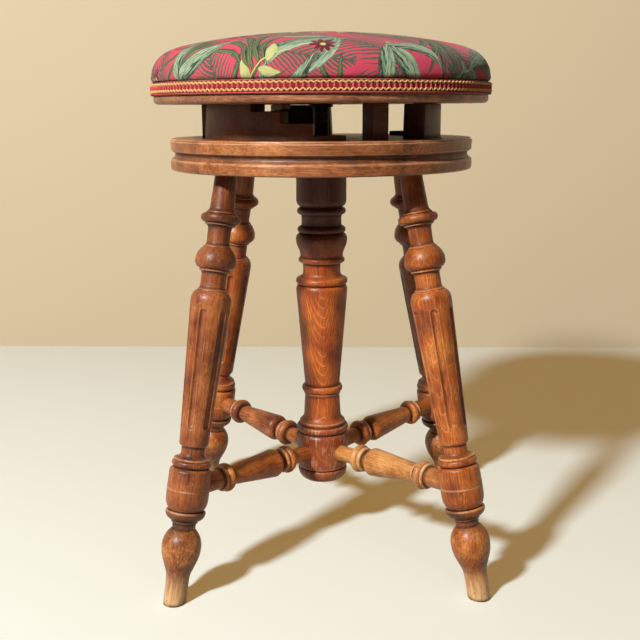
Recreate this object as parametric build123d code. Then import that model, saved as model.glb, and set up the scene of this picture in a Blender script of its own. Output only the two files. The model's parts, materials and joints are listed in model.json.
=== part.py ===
from build123d import *
import math
import os

# A revolving piano stool in turned beech. Sizes are in millimetres and angles in degrees.
# The floor is z = 0, the column stands on the Z axis, and the front faces -Y.
# The seat is at its lowest: its three feet stand on the plateau, between three stepped blocks.
# Lifting and turning the seat brings the feet up onto the steps, clockwise seen from above.

# ---- plateau: the thick round board that joins legs, column and stair blocks
plateau_underside = 393.0
plateau_thickness = 31.0
plateau_radius = 150.0
plateau_upper_band = 11.3
plateau_cove_depth = 4.6
plateau_cove_drop = 3.4  # steep upper side of the cove
plateau_cove_run = 5.6  # long lower side of the cove
plateau_lower_band = 8.0
plateau_foot_bevel = 2.6

# ---- column and hub, one turning
column_tenon_radius = 18.0
column_head_radius = 25.5
column_head_length = 32.0
column_head_bevel = 6.6
column_waist_radius = 20.5
column_waist_length = 12.0
column_bead_radius = 24.9
column_bead_width = 6.8
column_bulb_radius = 26.4
column_bulb_rise = 6.2
column_bulb_fall = 9.0
column_bulb_hip_radius = 24.3
column_bulb_tail = 10.0
column_small_bead_radius = 23.8
column_small_bead_width = 5.4
column_neck_radius = 19.3
column_neck_length = 9.8
column_flare = 5.8
column_flare_radius = 23.2
column_collar_radius = 26.7
column_shoulder_radius = 26.6
column_shoulder_rise = 6.0
column_taper_radius = 18.2
column_ankle_bead_radius = 21.9
column_ankle_length = 24.2
hub_flare = 8.6
hub_fillet_radius = 24.2
hub_fillet_width = 4.0
hub_ring_radius = 27.4
hub_ring_width = 6.8
hub_radius = 28.2
hub_bevel = 4.6
hub_foot_radius = 25.9
hub_length = 38.0
hub_foot_round = 11.0
hub_tip_radius = 19.6
hub_bottom = 63.0  # height of the hub's underside

# ---- bore in the column, and the iron bush in its top
bore_clearance = 0.5
bore_depth = 200.0
bush_outer_radius = 11.0
bush_length = 45.0

# ---- legs, from the plateau down to the fluted shaft
leg_top_reach = 120.5  # column axis to leg axis, at the plateau's underside
leg_foot_reach = 210.0  # and on the floor
leg_socket_depth = 22.0
leg_top_radius = 10.8
leg_plain_length = 31.6
leg_flare = 4.8
leg_fillet_radius = 14.2
leg_ring_radius = 18.6
leg_ring_width = 9.6
leg_neck_radius = 10.8
leg_neck_length = 13.4
leg_bulb_radius = 19.2
leg_bulb_rise = 13.0
leg_bulb_fall = 6.6
leg_bulb_foot_radius = 14.6
leg_waist_radius = 11.9
leg_waist_length = 11.2
leg_shoulder_radius = 19.2
leg_shoulder_rise = 9.2

# ---- legs, from the shaft down to the floor
leg_shaft_foot_radius = 13.6
leg_ankle_radius = 11.0
leg_ankle_length = 8.4
leg_ankle_flare = 5.8
leg_ledge_radius = 16.2
leg_upper_ring_radius = 18.4
leg_upper_ring_width = 7.4
leg_barrel_end_radius = 17.0
leg_barrel_radius = 20.0
leg_barrel_bevel = 3.4
leg_barrel_half = 16.4  # from the bevel down to the stretcher's middle
leg_barrel_skirt = 9.6
leg_barrel_fall = 10.4
leg_lower_ring_radius = 18.8
leg_lower_ring_rise = 2.4
leg_lower_ring_fall = 8.6
leg_stem_radius = 10.9
leg_stem_length = 9.0
leg_vase_radius = 18.6
leg_vase_rise = 16.0
leg_vase_fall = 12.5
leg_vase_hip_radius = 16.6
leg_vase_slope = 9.5
leg_vase_knee_radius = 12.9
leg_tip_radius = 10.7
leg_tip_length = 32.0

# ---- flutes round each leg's shaft
flute_count = 6
flute_tool_radius = 4.4
flute_depth = 2.0
flute_nose_radius = 2.6  # the tool's rounded end, cut as a bevel
flute_nose_length = 2.2
flute_top_margin = 7.4
flute_bottom_margin = 14.6

# ---- stretchers, from the hub up to the middle of each leg's barrel
hub_socket_height = 94.0
stretcher_socket_depth = 14.0
stretcher_neck_radius = 8.4
stretcher_hub_neck_length = 28.0
stretcher_ring_radius = 14.3
stretcher_ring_width = 8.0
stretcher_bead_radius = 12.6
stretcher_bead_width = 4.0
stretcher_groove_width = 4.6
stretcher_swell_radius = 14.3
stretcher_swell_end_radius = 10.4
stretcher_swell_rise = 6.2
stretcher_small_radius = 9.3
stretcher_leg_neck_length = 18.5

# ---- stair blocks: three stepped ring sectors that stand on the plateau
block_count = 3
stair_outer_radius = 119.0
stair_width = 23.0
step_heights = (4.5, 15.0, 25.5, 32.0)  # of each tread over the plateau
step_angle = 14.3
landing_angle = 33.5  # the top tread is wider
stair_start = -12.7  # first riser, clockwise from the front, seen from above
stair_end_rake = 16.0  # lean of the block's far end

# ---- seat board
seat_gap = 32.5  # plateau top to seat board underside, at the lowest setting
board_radius = 164.5  # of the rim that shows under the braid
board_rim_height = 7.5
board_rim_fall = 4.4
board_foot_inset = 4.0
board_edge_inset = 0.1  # of the upholstered edge above the rim
board_edge_height = 12.2

# ---- seat feet and stop blocks, under the seat board
foot_middle = -28.7  # clockwise from the front, like the stair blocks
foot_angle = 7.8
stop_middle = 17.1
stop_angle = 4.8
stop_height = 5.0

# ---- spindle, its washer and nut, and the flange that carries the seat
spindle_radius = 8.0
spindle_length = 190.0  # below the thrust collar
spindle_end_round = 1.5
collar_radius = 12.0
collar_height = 3.0
journal_radius = 6.0
journal_length = 12.5
flange_radius = 38.0
flange_thickness = 4.0
washer_radius = 11.0
washer_thickness = 1.5
nut_across_flats = 18.0
nut_height = 5.5
nut_pocket_radius = 16.0
nut_pocket_height = 10.0

# ---- upholstery
cushion_overhang = 2.5  # past the rim of the board
cushion_height = 47.8  # board top to the middle of the cushion
cushion_side_height = 6.54  # board top to the cushion's widest line
cushion_shoulder_radius = 26.0
braid_thickness = 3.0  # with the hem of the cover folded under it
braid_edge_thickness = 2.3
braid_bevel = 2.4

# ---- clearances
glue_gap = 0.1
running_gap = 0.05
trim_gap = 0.3

# ---- places that follow from the sizes above
plateau_top = plateau_underside + plateau_thickness
seat_underside = plateau_top + seat_gap
board_height = board_rim_height + board_edge_height
board_top = seat_underside + board_height
board_edge_radius = board_radius - board_edge_inset
cushion_radius = board_radius + cushion_overhang
cushion_hip_radius = cushion_radius - cushion_shoulder_radius
cushion_rise = cushion_height - cushion_side_height
cushion_crown_radius = (cushion_hip_radius**2 + cushion_rise**2 - cushion_shoulder_radius**2) / (
    2 * (cushion_rise - cushion_shoulder_radius)
)
stair_inner_radius = stair_outer_radius - stair_width
stair_middle_radius = stair_outer_radius - stair_width / 2
stair_angle = (len(step_heights) - 1) * step_angle + landing_angle
corners = {"front_left": 225, "front_right": 315, "rear_right": 45, "rear_left": 135}
leg_turns = {"front_left": 28, "front_right": 13, "rear_right": 28, "rear_left": 13}
# How far round from its corner each foot stands: the old stool's front legs lean a little.
foot_shifts = {"front_left": 5.2, "front_right": 1.6, "rear_right": 0, "rear_left": 0}


class Turning:
    """The half outline of a turned piece, followed from its top end down its axis."""

    def __init__(self, radius):
        self.depth = 0.0
        self.radius = radius
        self.edges = [Edge.make_line((0, 0, 0), (radius, 0, 0))]

    def move(self, length, radius):
        start = Vector(self.radius, 0, -self.depth)
        self.depth += length
        self.radius = radius
        return start, Vector(radius, 0, -self.depth)

    def line(self, length, radius=None):
        """A straight stretch, tapered to the new radius if one is given."""
        radius = self.radius if radius is None else radius
        self.edges.append(Edge.make_line(*self.move(length, radius)))

    def step(self, radius):
        """A flat shoulder, in or out."""
        if radius != self.radius:
            self.line(0, radius)

    def ring(self, width, radius):
        """A raised ring with bevelled shoulders that leaves the outline where it was."""
        base = self.radius
        self.line(width / 3, radius)
        self.line(width / 3)
        self.line(width / 3, base)

    def rise(self, length, radius):
        """An arc that arrives along the axis: it swells if it widens, or is a cove if it narrows."""
        start, end = self.move(length, radius)
        self.edges.append(Edge.make_tangent_arc(end, Vector(0, 0, 1), start))

    def fall(self, length, radius):
        """An arc that leaves along the axis: it rounds in if it narrows, or flares if it widens."""
        start, end = self.move(length, radius)
        self.edges.append(Edge.make_tangent_arc(start, Vector(0, 0, -1), end))

    def solid(self):
        """The piece, turned round Z, with its top end at z = 0."""
        rim = Vector(self.radius, 0, -self.depth)
        middle = Vector(0, 0, -self.depth)
        closing = [Edge.make_line(rim, middle), Edge.make_line(middle, (0, 0, 0))]
        return revolve(Face(Wire([*self.edges, *closing])), Axis.Z)


def cylinder(radius, bottom, top):
    """A cylinder round the Z axis between two heights."""
    return Pos(0, 0, (bottom + top) / 2) * Cylinder(radius, top - bottom)


def from_front(angle):
    """Turns the +X direction to an angle measured clockwise from the front, seen from above."""
    return Rot(0, 0, -90 - angle)


def sector(inner, outer, height, angle):
    """A block of ring section that starts at +X and spans an angle anticlockwise."""
    section = Pos((inner + outer) / 2, height / 2) * Rectangle(outer - inner, height)
    return revolve(Plane.XZ * section, Axis.Z, revolution_arc=angle)


def round_copies(piece, count):
    """Copies of a piece, evenly spaced round the Z axis."""
    return [Rot(0, 0, 360 * i / count) * piece for i in range(count)]


# ---- the stand ---------------------------------------------------------------------------


def make_plateau():
    t = Turning(plateau_radius)
    t.line(plateau_upper_band)
    t.line(plateau_cove_drop, plateau_radius - plateau_cove_depth)
    t.line(plateau_cove_run, plateau_radius)
    t.line(plateau_lower_band)
    t.line(plateau_thickness - t.depth, plateau_radius - plateau_foot_bevel)
    board = Pos(0, 0, plateau_top) * t.solid()
    cuts = [cylinder(column_tenon_radius + glue_gap, plateau_underside, plateau_top)]
    socket = cylinder(leg_top_radius + glue_gap, -leg_top_radius, leg_socket_depth + glue_gap)
    cuts += [leg_place(corner) * socket for corner in corners]
    return board - cuts


def column_head(t):
    t.line(column_head_length)
    t.line(column_head_bevel, column_waist_radius)
    t.ring(column_bead_width, column_bead_radius)
    t.line(column_waist_length)
    t.ring(column_bead_width, column_bead_radius)
    t.line(column_bulb_rise, column_bulb_radius)
    t.fall(column_bulb_fall, column_bulb_hip_radius)
    t.line(column_bulb_tail, column_neck_radius)
    t.ring(column_small_bead_width, column_small_bead_radius)
    t.line(column_neck_length)
    t.line(column_flare, column_flare_radius)
    t.ring(column_bead_width, column_collar_radius)
    t.line(column_shoulder_rise, column_shoulder_radius)


def column_foot(t):
    t.ring(column_bead_width, column_ankle_bead_radius)
    t.line(column_ankle_length)
    t.line(hub_flare, hub_fillet_radius)
    t.line(hub_fillet_width)
    t.ring(hub_ring_width, hub_ring_radius)
    t.line(hub_bevel, hub_radius)
    t.line(hub_length, hub_foot_radius)
    t.fall(hub_foot_round, hub_tip_radius)


def make_column():
    foot = Turning(column_taper_radius)
    column_foot(foot)
    t = Turning(column_tenon_radius)
    t.line(plateau_thickness)
    t.step(column_head_radius)
    column_head(t)
    t.line(plateau_top - hub_bottom - t.depth - foot.depth, column_taper_radius)
    column_foot(t)
    column = Pos(0, 0, plateau_top) * t.solid()
    bore = cylinder(spindle_radius + bore_clearance, plateau_top - bore_depth, plateau_top)
    bush_seat = cylinder(bush_outer_radius + glue_gap, plateau_top - bush_length, plateau_top)
    socket = cylinder(
        stretcher_neck_radius + glue_gap,
        hub_core_radius - glue_gap,
        hub_radius + stretcher_neck_radius,
    )
    sockets = [stretcher_place(corner) * socket for corner in corners]
    return column - [bore, bush_seat, *sockets]


def make_column_bush():
    outside = cylinder(bush_outer_radius, plateau_top - bush_length, plateau_top)
    bore = cylinder(spindle_radius + running_gap, plateau_top - bush_length, plateau_top)
    return outside - bore


def leg_head(t):
    t.line(leg_plain_length)
    t.line(leg_flare, leg_fillet_radius)
    t.ring(leg_ring_width, leg_ring_radius)
    t.line(leg_flare, leg_neck_radius)
    t.line(leg_neck_length)
    t.line(leg_flare, leg_fillet_radius)
    t.rise(leg_bulb_rise, leg_bulb_radius)
    t.line(leg_bulb_fall, leg_bulb_foot_radius)
    t.line(leg_flare, leg_waist_radius)
    t.line(leg_waist_length)
    t.line(leg_flare, leg_fillet_radius)
    t.rise(leg_shoulder_rise, leg_shoulder_radius)


def leg_foot(t):
    """Returns the depth of the barrel's middle, where the stretcher goes in."""
    t.step(leg_ankle_radius)
    t.line(leg_ankle_length)
    t.line(leg_ankle_flare, leg_ledge_radius)
    t.ring(leg_upper_ring_width, leg_upper_ring_radius)
    t.line(leg_barrel_bevel, leg_barrel_radius)
    t.line(leg_barrel_half)
    middle = t.depth
    t.line(leg_barrel_skirt)
    t.line(leg_barrel_fall, leg_barrel_end_radius)
    t.line(leg_lower_ring_rise, leg_lower_ring_radius)
    t.line(leg_lower_ring_fall, leg_fillet_radius)
    t.step(leg_stem_radius)
    t.line(leg_stem_length)
    t.rise(leg_vase_rise, leg_vase_radius)
    t.fall(leg_vase_fall, leg_vase_hip_radius)
    t.line(leg_vase_slope, leg_vase_knee_radius)
    t.line(leg_tip_length, leg_tip_radius)
    return middle


def leg_line(corner):
    """Where a leg's axis crosses the plateau's underside, and where it meets the floor."""
    top = Vector(leg_top_reach, 0, plateau_underside).rotate(Axis.Z, corners[corner])
    foot = Vector(leg_foot_reach, 0, 0).rotate(Axis.Z, corners[corner] + foot_shifts[corner])
    return top, foot


def leg_place(corner):
    """From a leg's own axis, with its origin level with the plateau's underside, to its place."""
    top, foot = leg_line(corner)
    upward = top - foot
    outward = Vector(1, 0, 0).rotate(Axis.Z, corners[corner])
    return Plane(origin=top, x_dir=upward.cross(outward).cross(upward), z_dir=upward).location


def make_leg(corner):
    top, foot = leg_line(corner)
    upward = top - foot
    overrun = leg_tip_radius * math.tan(math.radians(upward.get_angle(Vector(0, 0, 1))))
    lower_part = Turning(leg_shaft_foot_radius)
    leg_foot(lower_part)
    t = Turning(leg_top_radius)
    t.line(leg_socket_depth)
    leg_head(t)
    shaft_top = leg_socket_depth - t.depth
    shaft_length = upward.length + shaft_top - lower_part.depth
    t.line(shaft_length, leg_shaft_foot_radius)
    leg_foot(t)
    t.line(overrun)
    leg = Pos(0, 0, leg_socket_depth) * t.solid() - flutes(shaft_top, shaft_length)
    leg = leg_place(corner) * Rot(0, 0, leg_turns[corner]) * leg
    return split(leg, bisect_by=Plane.XY, keep=Keep.TOP)


def flutes(shaft_top, shaft_length):
    """Cutters along the tapered shaft, sunk into it by the flute's depth, with bevelled noses."""
    narrowing = (leg_shoulder_radius - leg_shaft_foot_radius) / shaft_length
    lift = flute_tool_radius - flute_depth
    nose = math.sqrt(flute_tool_radius**2 - lift**2)  # half the width of a flute

    def tool_centre(drop):
        return Vector(leg_shoulder_radius - narrowing * drop + lift, 0, shaft_top - drop)

    top = tool_centre(flute_top_margin + nose)
    bottom = tool_centre(shaft_length - flute_bottom_margin - nose)
    along = Plane(origin=bottom, z_dir=top - bottom)
    length = (top - bottom).length
    tool = Turning(flute_nose_radius)
    tool.line(flute_nose_length, flute_tool_radius)
    tool.line(length)
    tool.line(flute_nose_length, flute_nose_radius)
    cutter = along.location * Pos(0, 0, length + flute_nose_length) * tool.solid()
    return round_copies(cutter, flute_count)


hub_core_radius = hub_foot_radius - stretcher_socket_depth
hub_centre = Vector(0, 0, hub_socket_height)


def stretcher_run(corner):
    """From the column's axis to the middle of a leg's barrel."""
    top, foot = leg_line(corner)
    lower_part = Turning(leg_shaft_foot_radius)
    barrel_middle = leg_foot(lower_part)
    rise = lower_part.depth - barrel_middle
    return foot + (top - foot).normalized() * rise - hub_centre


def stretcher_place(corner):
    """From Z, with the column's axis at z = 0, to a stretcher's own line from hub to leg."""
    return Plane(origin=hub_centre, z_dir=stretcher_run(corner)).location


def stretcher_collar(t):
    t.ring(stretcher_ring_width, stretcher_ring_radius)
    t.ring(stretcher_bead_width, stretcher_bead_radius)
    t.line(stretcher_groove_width)


def make_stretcher(corner):
    collar = Turning(stretcher_neck_radius)
    stretcher_collar(collar)
    far_end = stretcher_run(corner).length - leg_barrel_radius + stretcher_socket_depth
    neck = stretcher_leg_neck_length + stretcher_socket_depth - stretcher_groove_width
    t = Turning(stretcher_neck_radius)
    t.line(stretcher_socket_depth + stretcher_hub_neck_length)
    stretcher_collar(t)
    t.step(stretcher_swell_end_radius)
    t.line(stretcher_swell_rise, stretcher_swell_radius)
    rest = far_end - hub_core_radius - t.depth
    t.line(rest - stretcher_groove_width - collar.depth - neck, stretcher_small_radius)
    t.step(stretcher_neck_radius)
    t.line(stretcher_groove_width)
    stretcher_collar(t)
    t.line(neck)
    from_hub = Pos(0, 0, hub_core_radius) * Rot(180, 0, 0) * t.solid()
    return stretcher_place(corner) * from_hub


def cut_stretcher_socket(leg, corner):
    reach = stretcher_run(corner).length
    socket = cylinder(
        stretcher_neck_radius + glue_gap,
        reach - 2 * leg_barrel_radius,
        reach - leg_barrel_radius + stretcher_socket_depth + glue_gap,
    )
    return leg - stretcher_place(corner) * socket


def make_stair_block():
    """One stepped block, with its far end at +X and its treads falling away anticlockwise."""
    top = step_heights[-1]
    rake = math.radians(stair_end_rake)
    overrun = math.degrees(top * math.tan(rake) / stair_inner_radius)
    landing = sector(stair_inner_radius, stair_outer_radius, top, landing_angle + overrun)
    block = Rot(0, 0, -overrun) * landing
    start = landing_angle
    for height in reversed(step_heights[:-1]):
        tread = sector(stair_inner_radius, stair_outer_radius, height, step_angle)
        block += Rot(0, 0, start) * tread
        start += step_angle
    end_face = Plane(
        origin=(stair_middle_radius, 0, top),
        z_dir=(0, math.cos(rake), -math.sin(rake)),
    )
    return split(block, bisect_by=end_face, keep=Keep.TOP)


def stair_block_place(index):
    turn = stair_start + stair_angle + 360 * index / block_count
    return Pos(0, 0, plateau_top) * from_front(turn)


# ---- the spindle -------------------------------------------------------------------------


def make_spindle():
    t = Turning(journal_radius)
    t.line(journal_length)
    t.step(collar_radius)
    t.line(collar_height)
    t.step(spindle_radius)
    t.line(spindle_length - spindle_end_round)
    t.line(spindle_end_round, spindle_radius - spindle_end_round)
    return Pos(0, 0, seat_underside + journal_length) * t.solid()


def make_spindle_washer():
    bottom = seat_underside + flange_thickness + running_gap
    ring = cylinder(washer_radius, bottom, bottom + washer_thickness)
    return ring - cylinder(journal_radius + running_gap, bottom, bottom + washer_thickness)


def make_spindle_nut():
    bottom = seat_underside + flange_thickness + running_gap + washer_thickness
    hexagon = RegularPolygon(nut_across_flats / 2, 6, major_radius=False)
    nut = Pos(0, 0, bottom) * extrude(hexagon, nut_height)
    return nut - cylinder(journal_radius + running_gap, bottom, bottom + nut_height)


# ---- the seat ----------------------------------------------------------------------------


def make_seat_flange():
    plate = cylinder(flange_radius, seat_underside, seat_underside + flange_thickness)
    journal_hole = cylinder(
        journal_radius + running_gap, seat_underside, seat_underside + flange_thickness
    )
    return plate - journal_hole


def make_seat_board():
    t = Turning(board_edge_radius)
    t.line(board_edge_height)
    t.step(board_radius)
    t.line(board_rim_height - board_rim_fall)
    t.fall(board_rim_fall, board_radius - board_foot_inset)
    board = Pos(0, 0, board_top) * t.solid()
    flange_top = seat_underside + flange_thickness
    recess = cylinder(flange_radius + glue_gap, seat_underside, flange_top)
    pocket = cylinder(nut_pocket_radius, seat_underside, flange_top + nut_pocket_height)
    return board - [recess, pocket]


def under_seat(height, middle, angle, index):
    """A small ring-shaped block under the seat board."""
    block = sector(stair_inner_radius, stair_outer_radius, height, angle)
    turn = middle + angle / 2 + 360 * index / block_count
    return Pos(0, 0, seat_underside - height) * from_front(turn) * block


def make_seat_cushion():
    """The stuffed and covered dome, which swells out over the braid."""
    middle = Vector(0, 0, cushion_height - cushion_crown_radius)
    hip = Vector(cushion_hip_radius, 0, cushion_side_height)
    meet = math.atan2(hip.Z - middle.Z, hip.X)

    def on(centre, size, angle):
        return centre + Vector(math.cos(angle), 0, math.sin(angle)) * size

    top = Vector(0, 0, cushion_height)
    join = on(hip, cushion_shoulder_radius, meet)
    side = Vector(cushion_radius, 0, hip.Z)
    corner = Vector(board_edge_radius, 0, 0)
    outline = [
        Edge.make_three_point_arc(top, on(middle, cushion_crown_radius, (meet + math.pi / 2) / 2), join),
        Edge.make_three_point_arc(join, on(hip, cushion_shoulder_radius, meet / 2), side),
        Edge.make_line(side, corner),
        Edge.make_line(corner, (0, 0, 0)),
        Edge.make_line((0, 0, 0), top),
    ]
    return Pos(0, 0, board_top) * revolve(Face(Wire(outline)), Axis.Z)


def make_gimp_braid():
    inner = board_edge_radius + glue_gap
    edge = inner + braid_edge_thickness
    height = board_edge_height - 2 * trim_gap
    t = Turning(edge)
    t.line(braid_bevel, inner + braid_thickness)
    t.line(height - 2 * braid_bevel)
    t.line(braid_bevel, edge)
    bottom = board_top - trim_gap - height
    return Pos(0, 0, board_top - trim_gap) * t.solid() - cylinder(inner, bottom, board_top)


# ---- every piece under the name of its file -------------------------------------------------

pieces = {
    "plateau": make_plateau(),
    "column": make_column(),
    "column_bush": make_column_bush(),
    "spindle": make_spindle(),
    "spindle_washer": make_spindle_washer(),
    "spindle_nut": make_spindle_nut(),
    "seat_flange": make_seat_flange(),
    "seat_board": make_seat_board(),
    "seat_cushion": make_seat_cushion(),
    "gimp_braid": make_gimp_braid(),
}
for corner in corners:
    pieces[f"leg_{corner}"] = cut_stretcher_socket(make_leg(corner), corner)
    pieces[f"stretcher_{corner}"] = make_stretcher(corner)
for index in range(block_count):
    number = index + 1
    pieces[f"stair_block_{number}"] = stair_block_place(index) * make_stair_block()
    pieces[f"seat_foot_{number}"] = under_seat(seat_gap, foot_middle, foot_angle, index)
    pieces[f"stop_block_{number}"] = under_seat(stop_height, stop_middle, stop_angle, index)

os.makedirs("parts", exist_ok=True)
for name, piece in pieces.items():
    export_step(piece, f"parts/{name}.step")
    print(name, "written")
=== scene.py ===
import bisect
import json
import math
import bmesh
import bpy
from mathutils import Matrix, Vector, noise

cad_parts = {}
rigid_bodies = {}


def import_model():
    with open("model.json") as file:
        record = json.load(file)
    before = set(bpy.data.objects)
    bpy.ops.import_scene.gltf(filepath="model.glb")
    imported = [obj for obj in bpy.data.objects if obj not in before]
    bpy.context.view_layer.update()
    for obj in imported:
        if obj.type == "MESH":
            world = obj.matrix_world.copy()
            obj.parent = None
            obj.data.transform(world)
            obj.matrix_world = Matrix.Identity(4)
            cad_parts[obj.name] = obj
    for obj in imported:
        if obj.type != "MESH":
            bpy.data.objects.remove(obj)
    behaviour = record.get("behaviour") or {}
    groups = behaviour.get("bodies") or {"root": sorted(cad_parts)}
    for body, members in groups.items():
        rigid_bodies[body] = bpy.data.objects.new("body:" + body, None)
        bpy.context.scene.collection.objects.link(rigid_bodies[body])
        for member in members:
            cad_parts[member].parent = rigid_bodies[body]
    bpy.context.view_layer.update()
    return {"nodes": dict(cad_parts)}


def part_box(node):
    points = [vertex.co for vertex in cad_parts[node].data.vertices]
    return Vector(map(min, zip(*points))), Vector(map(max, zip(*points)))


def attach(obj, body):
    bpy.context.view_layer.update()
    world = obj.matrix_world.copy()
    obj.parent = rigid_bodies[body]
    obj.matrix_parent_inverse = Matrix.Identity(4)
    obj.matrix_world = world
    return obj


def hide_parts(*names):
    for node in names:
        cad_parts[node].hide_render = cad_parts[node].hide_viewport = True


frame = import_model()
mm = 0.001

# A revolving piano stool in turned beech. Outlines are in millimetres, meshes in metres.
stool = {
    "plateauLow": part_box("plateau")[0][2] / mm,
    "plateauTop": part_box("plateau")[1][2] / mm,
    "seatLow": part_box("seat_board")[0][2] / mm,
    "boardTop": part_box("seat_board")[1][2] / mm,
    "hubLow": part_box("column")[0][2] / mm,
    "seatPeak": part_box("seat_cushion")[1][2] / mm,
    "corners": {"front_left": 225, "front_right": 315, "rear_right": 45, "rear_left": 135},
}


# degrees for each facet of an arc, and for a corner to be worn, with rows beside it on a long stretch
lathe = {"arc": 9, "corner": 24, "share": 0.4, "beyond": 3.0, "beside": 1.2, "longest": 4.0,
         "fine": 1.0, "broad": 2.2, "heart": (4, 30, 0)}  # the tree's heart, from the piece's axis


class Outline:  # the half outline of a turned piece, followed down its axis
    def __init__(self, radius, height=0.0):
        self.points = [(radius, height)]

    @property
    def last(self):
        return self.points[-1]

    @property
    def depth(self):
        return -self.last[1]

    def line(self, length, radius=None):
        was, height = self.last
        self.points.append((was if radius is None else radius, height - length))

    def step(self, radius):  # a flat shoulder
        self.line(0, radius)

    def band(self, width, radius):
        self.step(radius)
        self.line(width)

    def follow(self, steps):  # a profile from a dictionary, step by step
        for way, *sizes in steps:
            getattr(self, way)(*sizes)

    def bead(self, width, crest):  # a half-round ring
        radius, height = self.last
        turns = 9
        for i in range(1, turns + 1):
            t = math.pi * i / turns
            out = (crest - radius) * math.sin(t)
            self.points.append((radius + out, height - width * (1 - math.cos(t)) / 2))

    def sweep(self, length, radius):  # angles and radius of the arc between two radii
        change = radius - self.last[0]
        size = (change**2 + length**2) / (2 * abs(change))
        return math.copysign(1, change), size, math.atan2(length, size - abs(change))

    def rise(self, length, radius):  # an arc that arrives along the axis
        side, size, angle = self.sweep(length, radius)
        height = self.last[1] - length
        turns = max(3, round(math.degrees(angle) / lathe["arc"]))
        for i in range(turns - 1, -1, -1):
            t = angle * i / turns
            self.points.append((radius - side * size * (1 - math.cos(t)), height + size * math.sin(t)))

    def fall(self, length, radius):  # an arc that leaves along the axis
        side, size, angle = self.sweep(length, radius)
        start, height = self.last
        turns = max(3, round(math.degrees(angle) / lathe["arc"]))
        for i in range(1, turns + 1):
            t = angle * i / turns
            self.points.append((start + side * size * (1 - math.cos(t)), height - size * math.sin(t)))


def softened(points, size):  # worn corners, so that every edge catches the light
    soft = [points[0]]
    for before, here, after in zip(points, points[1:], points[2:]):
        inward = Vector(here) - Vector(before)
        outward = Vector(after) - Vector(here)
        if inward.length < 1e-6 or outward.length < 1e-6:
            continue
        if inward.angle(outward) < math.radians(lathe["corner"]):
            soft.append(here)
            continue
        start = Vector(here) - inward.normalized() * min(size, inward.length * lathe["share"])
        end = Vector(here) + outward.normalized() * min(size, outward.length * lathe["share"])
        middle = (start + end) / 4 + Vector(here) / 2
        if inward.length > lathe["beyond"]:
            soft.append(tuple(Vector(here) - inward.normalized() * lathe["beside"]))
        soft += [tuple(start), tuple(middle), tuple(end)]
        if outward.length > lathe["beyond"]:
            soft.append(tuple(Vector(here) + outward.normalized() * lathe["beside"]))
    return soft + [points[-1]]


def tellSeed(mesh, seed):  # so that no two pieces have the same grain
    own = mesh.attributes.new("seed", "FLOAT", "POINT")
    for item in own.data:
        item.value = seed


def divided(points, longest):  # no stretch longer than this
    fine = [Vector(points[0])]
    for start, end in zip(points, points[1:]):
        parts = max(1, math.ceil((Vector(end) - Vector(start)).length / longest))
        fine += [Vector(start).lerp(Vector(end), i / parts) for i in range(1, parts + 1)]
    return fine


def reliefAlong(points):  # 1 on sharp arrises, -1 in quirks, 0 where the outline runs straight
    travelled = [0.0]
    for start, end in zip(points, points[1:]):
        travelled.append(travelled[-1] + (end - start).length)

    def spot(way):
        way = max(0.0, min(travelled[-1], way))
        i = max(1, min(bisect.bisect_left(travelled, way), len(points) - 1))
        span = travelled[i] - travelled[i - 1]
        return points[i - 1].lerp(points[i], (way - travelled[i - 1]) / span if span else 0.0)

    def stand(i, reach):
        before, after = spot(travelled[i] - reach), spot(travelled[i] + reach)
        way = after - before
        return (points[i] - (before + after) / 2).dot(Vector((-way.y, way.x)).normalized())

    def share(value):
        return max(0.0, min(1.0, value))

    values = []
    for i in range(len(points)):
        fine, broad = stand(i, lathe["fine"]), stand(i, lathe["broad"])
        proud = share((fine - 0.16) / 0.3 + share((broad - 0.2) / 0.9) * 0.42)
        values.append(proud - share((-broad - 0.15) / 0.8))
    return values


def finishMesh(name, vertices, faces, relief, place, seed, crease=34):
    mesh = bpy.data.meshes.new(name)
    mesh.from_pydata([tuple(place @ (Vector(v) * mm)) for v in vertices], [], faces)
    grain = mesh.attributes.new("grain", "FLOAT_VECTOR", "POINT")  # from the heart of the tree, Z along it
    for item, vertex in zip(grain.data, vertices):
        item.vector = (Vector(vertex) - Vector(lathe["heart"])) * mm
    tellSeed(mesh, seed)
    wear = mesh.attributes.new("relief", "FLOAT", "POINT")
    for item, value in zip(wear.data, relief):
        item.value = value
    shaper = bmesh.new()
    shaper.from_mesh(mesh)
    bmesh.ops.remove_doubles(shaper, verts=shaper.verts, dist=1e-6)
    bmesh.ops.recalc_face_normals(shaper, faces=shaper.faces)
    shaper.to_mesh(mesh)
    shaper.free()
    mesh.shade_smooth()
    mesh.set_sharp_from_angle(angle=math.radians(crease))
    piece = bpy.data.objects.new(name, mesh)
    bpy.context.scene.collection.objects.link(piece)
    return piece


def ringFaces(rows, columns):
    faces = []
    for row in range(rows - 1):
        for k in range(columns):
            a, b = row * columns + k, row * columns + (k + 1) % columns
            faces.append((a, b, b + columns, a + columns))
    return faces


def turned(name, outline, columns=72, place=Matrix(), seed=0.0, edge=0.35, cutter=None, rows=None):
    points = softened(outline.points, edge) if edge else outline.points
    points = divided(rows(points) if rows else points, lathe["longest"])
    relief = reliefAlong(points)
    vertices, worn = [], []
    for (radius, height), stand in zip(points, relief):
        for k in range(columns):
            angle = 2 * math.pi * k / columns
            depth = tint = 0.0
            if cutter:
                angle, depth, tint = cutter(k, radius, height)
            reach = max(radius - depth, 0.0)
            vertices.append((reach * math.cos(angle), reach * math.sin(angle), height))
            # the cutter's tint, added to the relief, carries painted shade and highlight in the flutes
            worn.append(max(-1.0, min(1.0, stand + tint)))
    return finishMesh(name, vertices, ringFaces(len(points), columns), worn, place, seed)


def shifted(x=0.0, y=0.0, z=0.0):
    return Matrix.Translation(Vector((x, y, z)) * mm)


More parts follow.
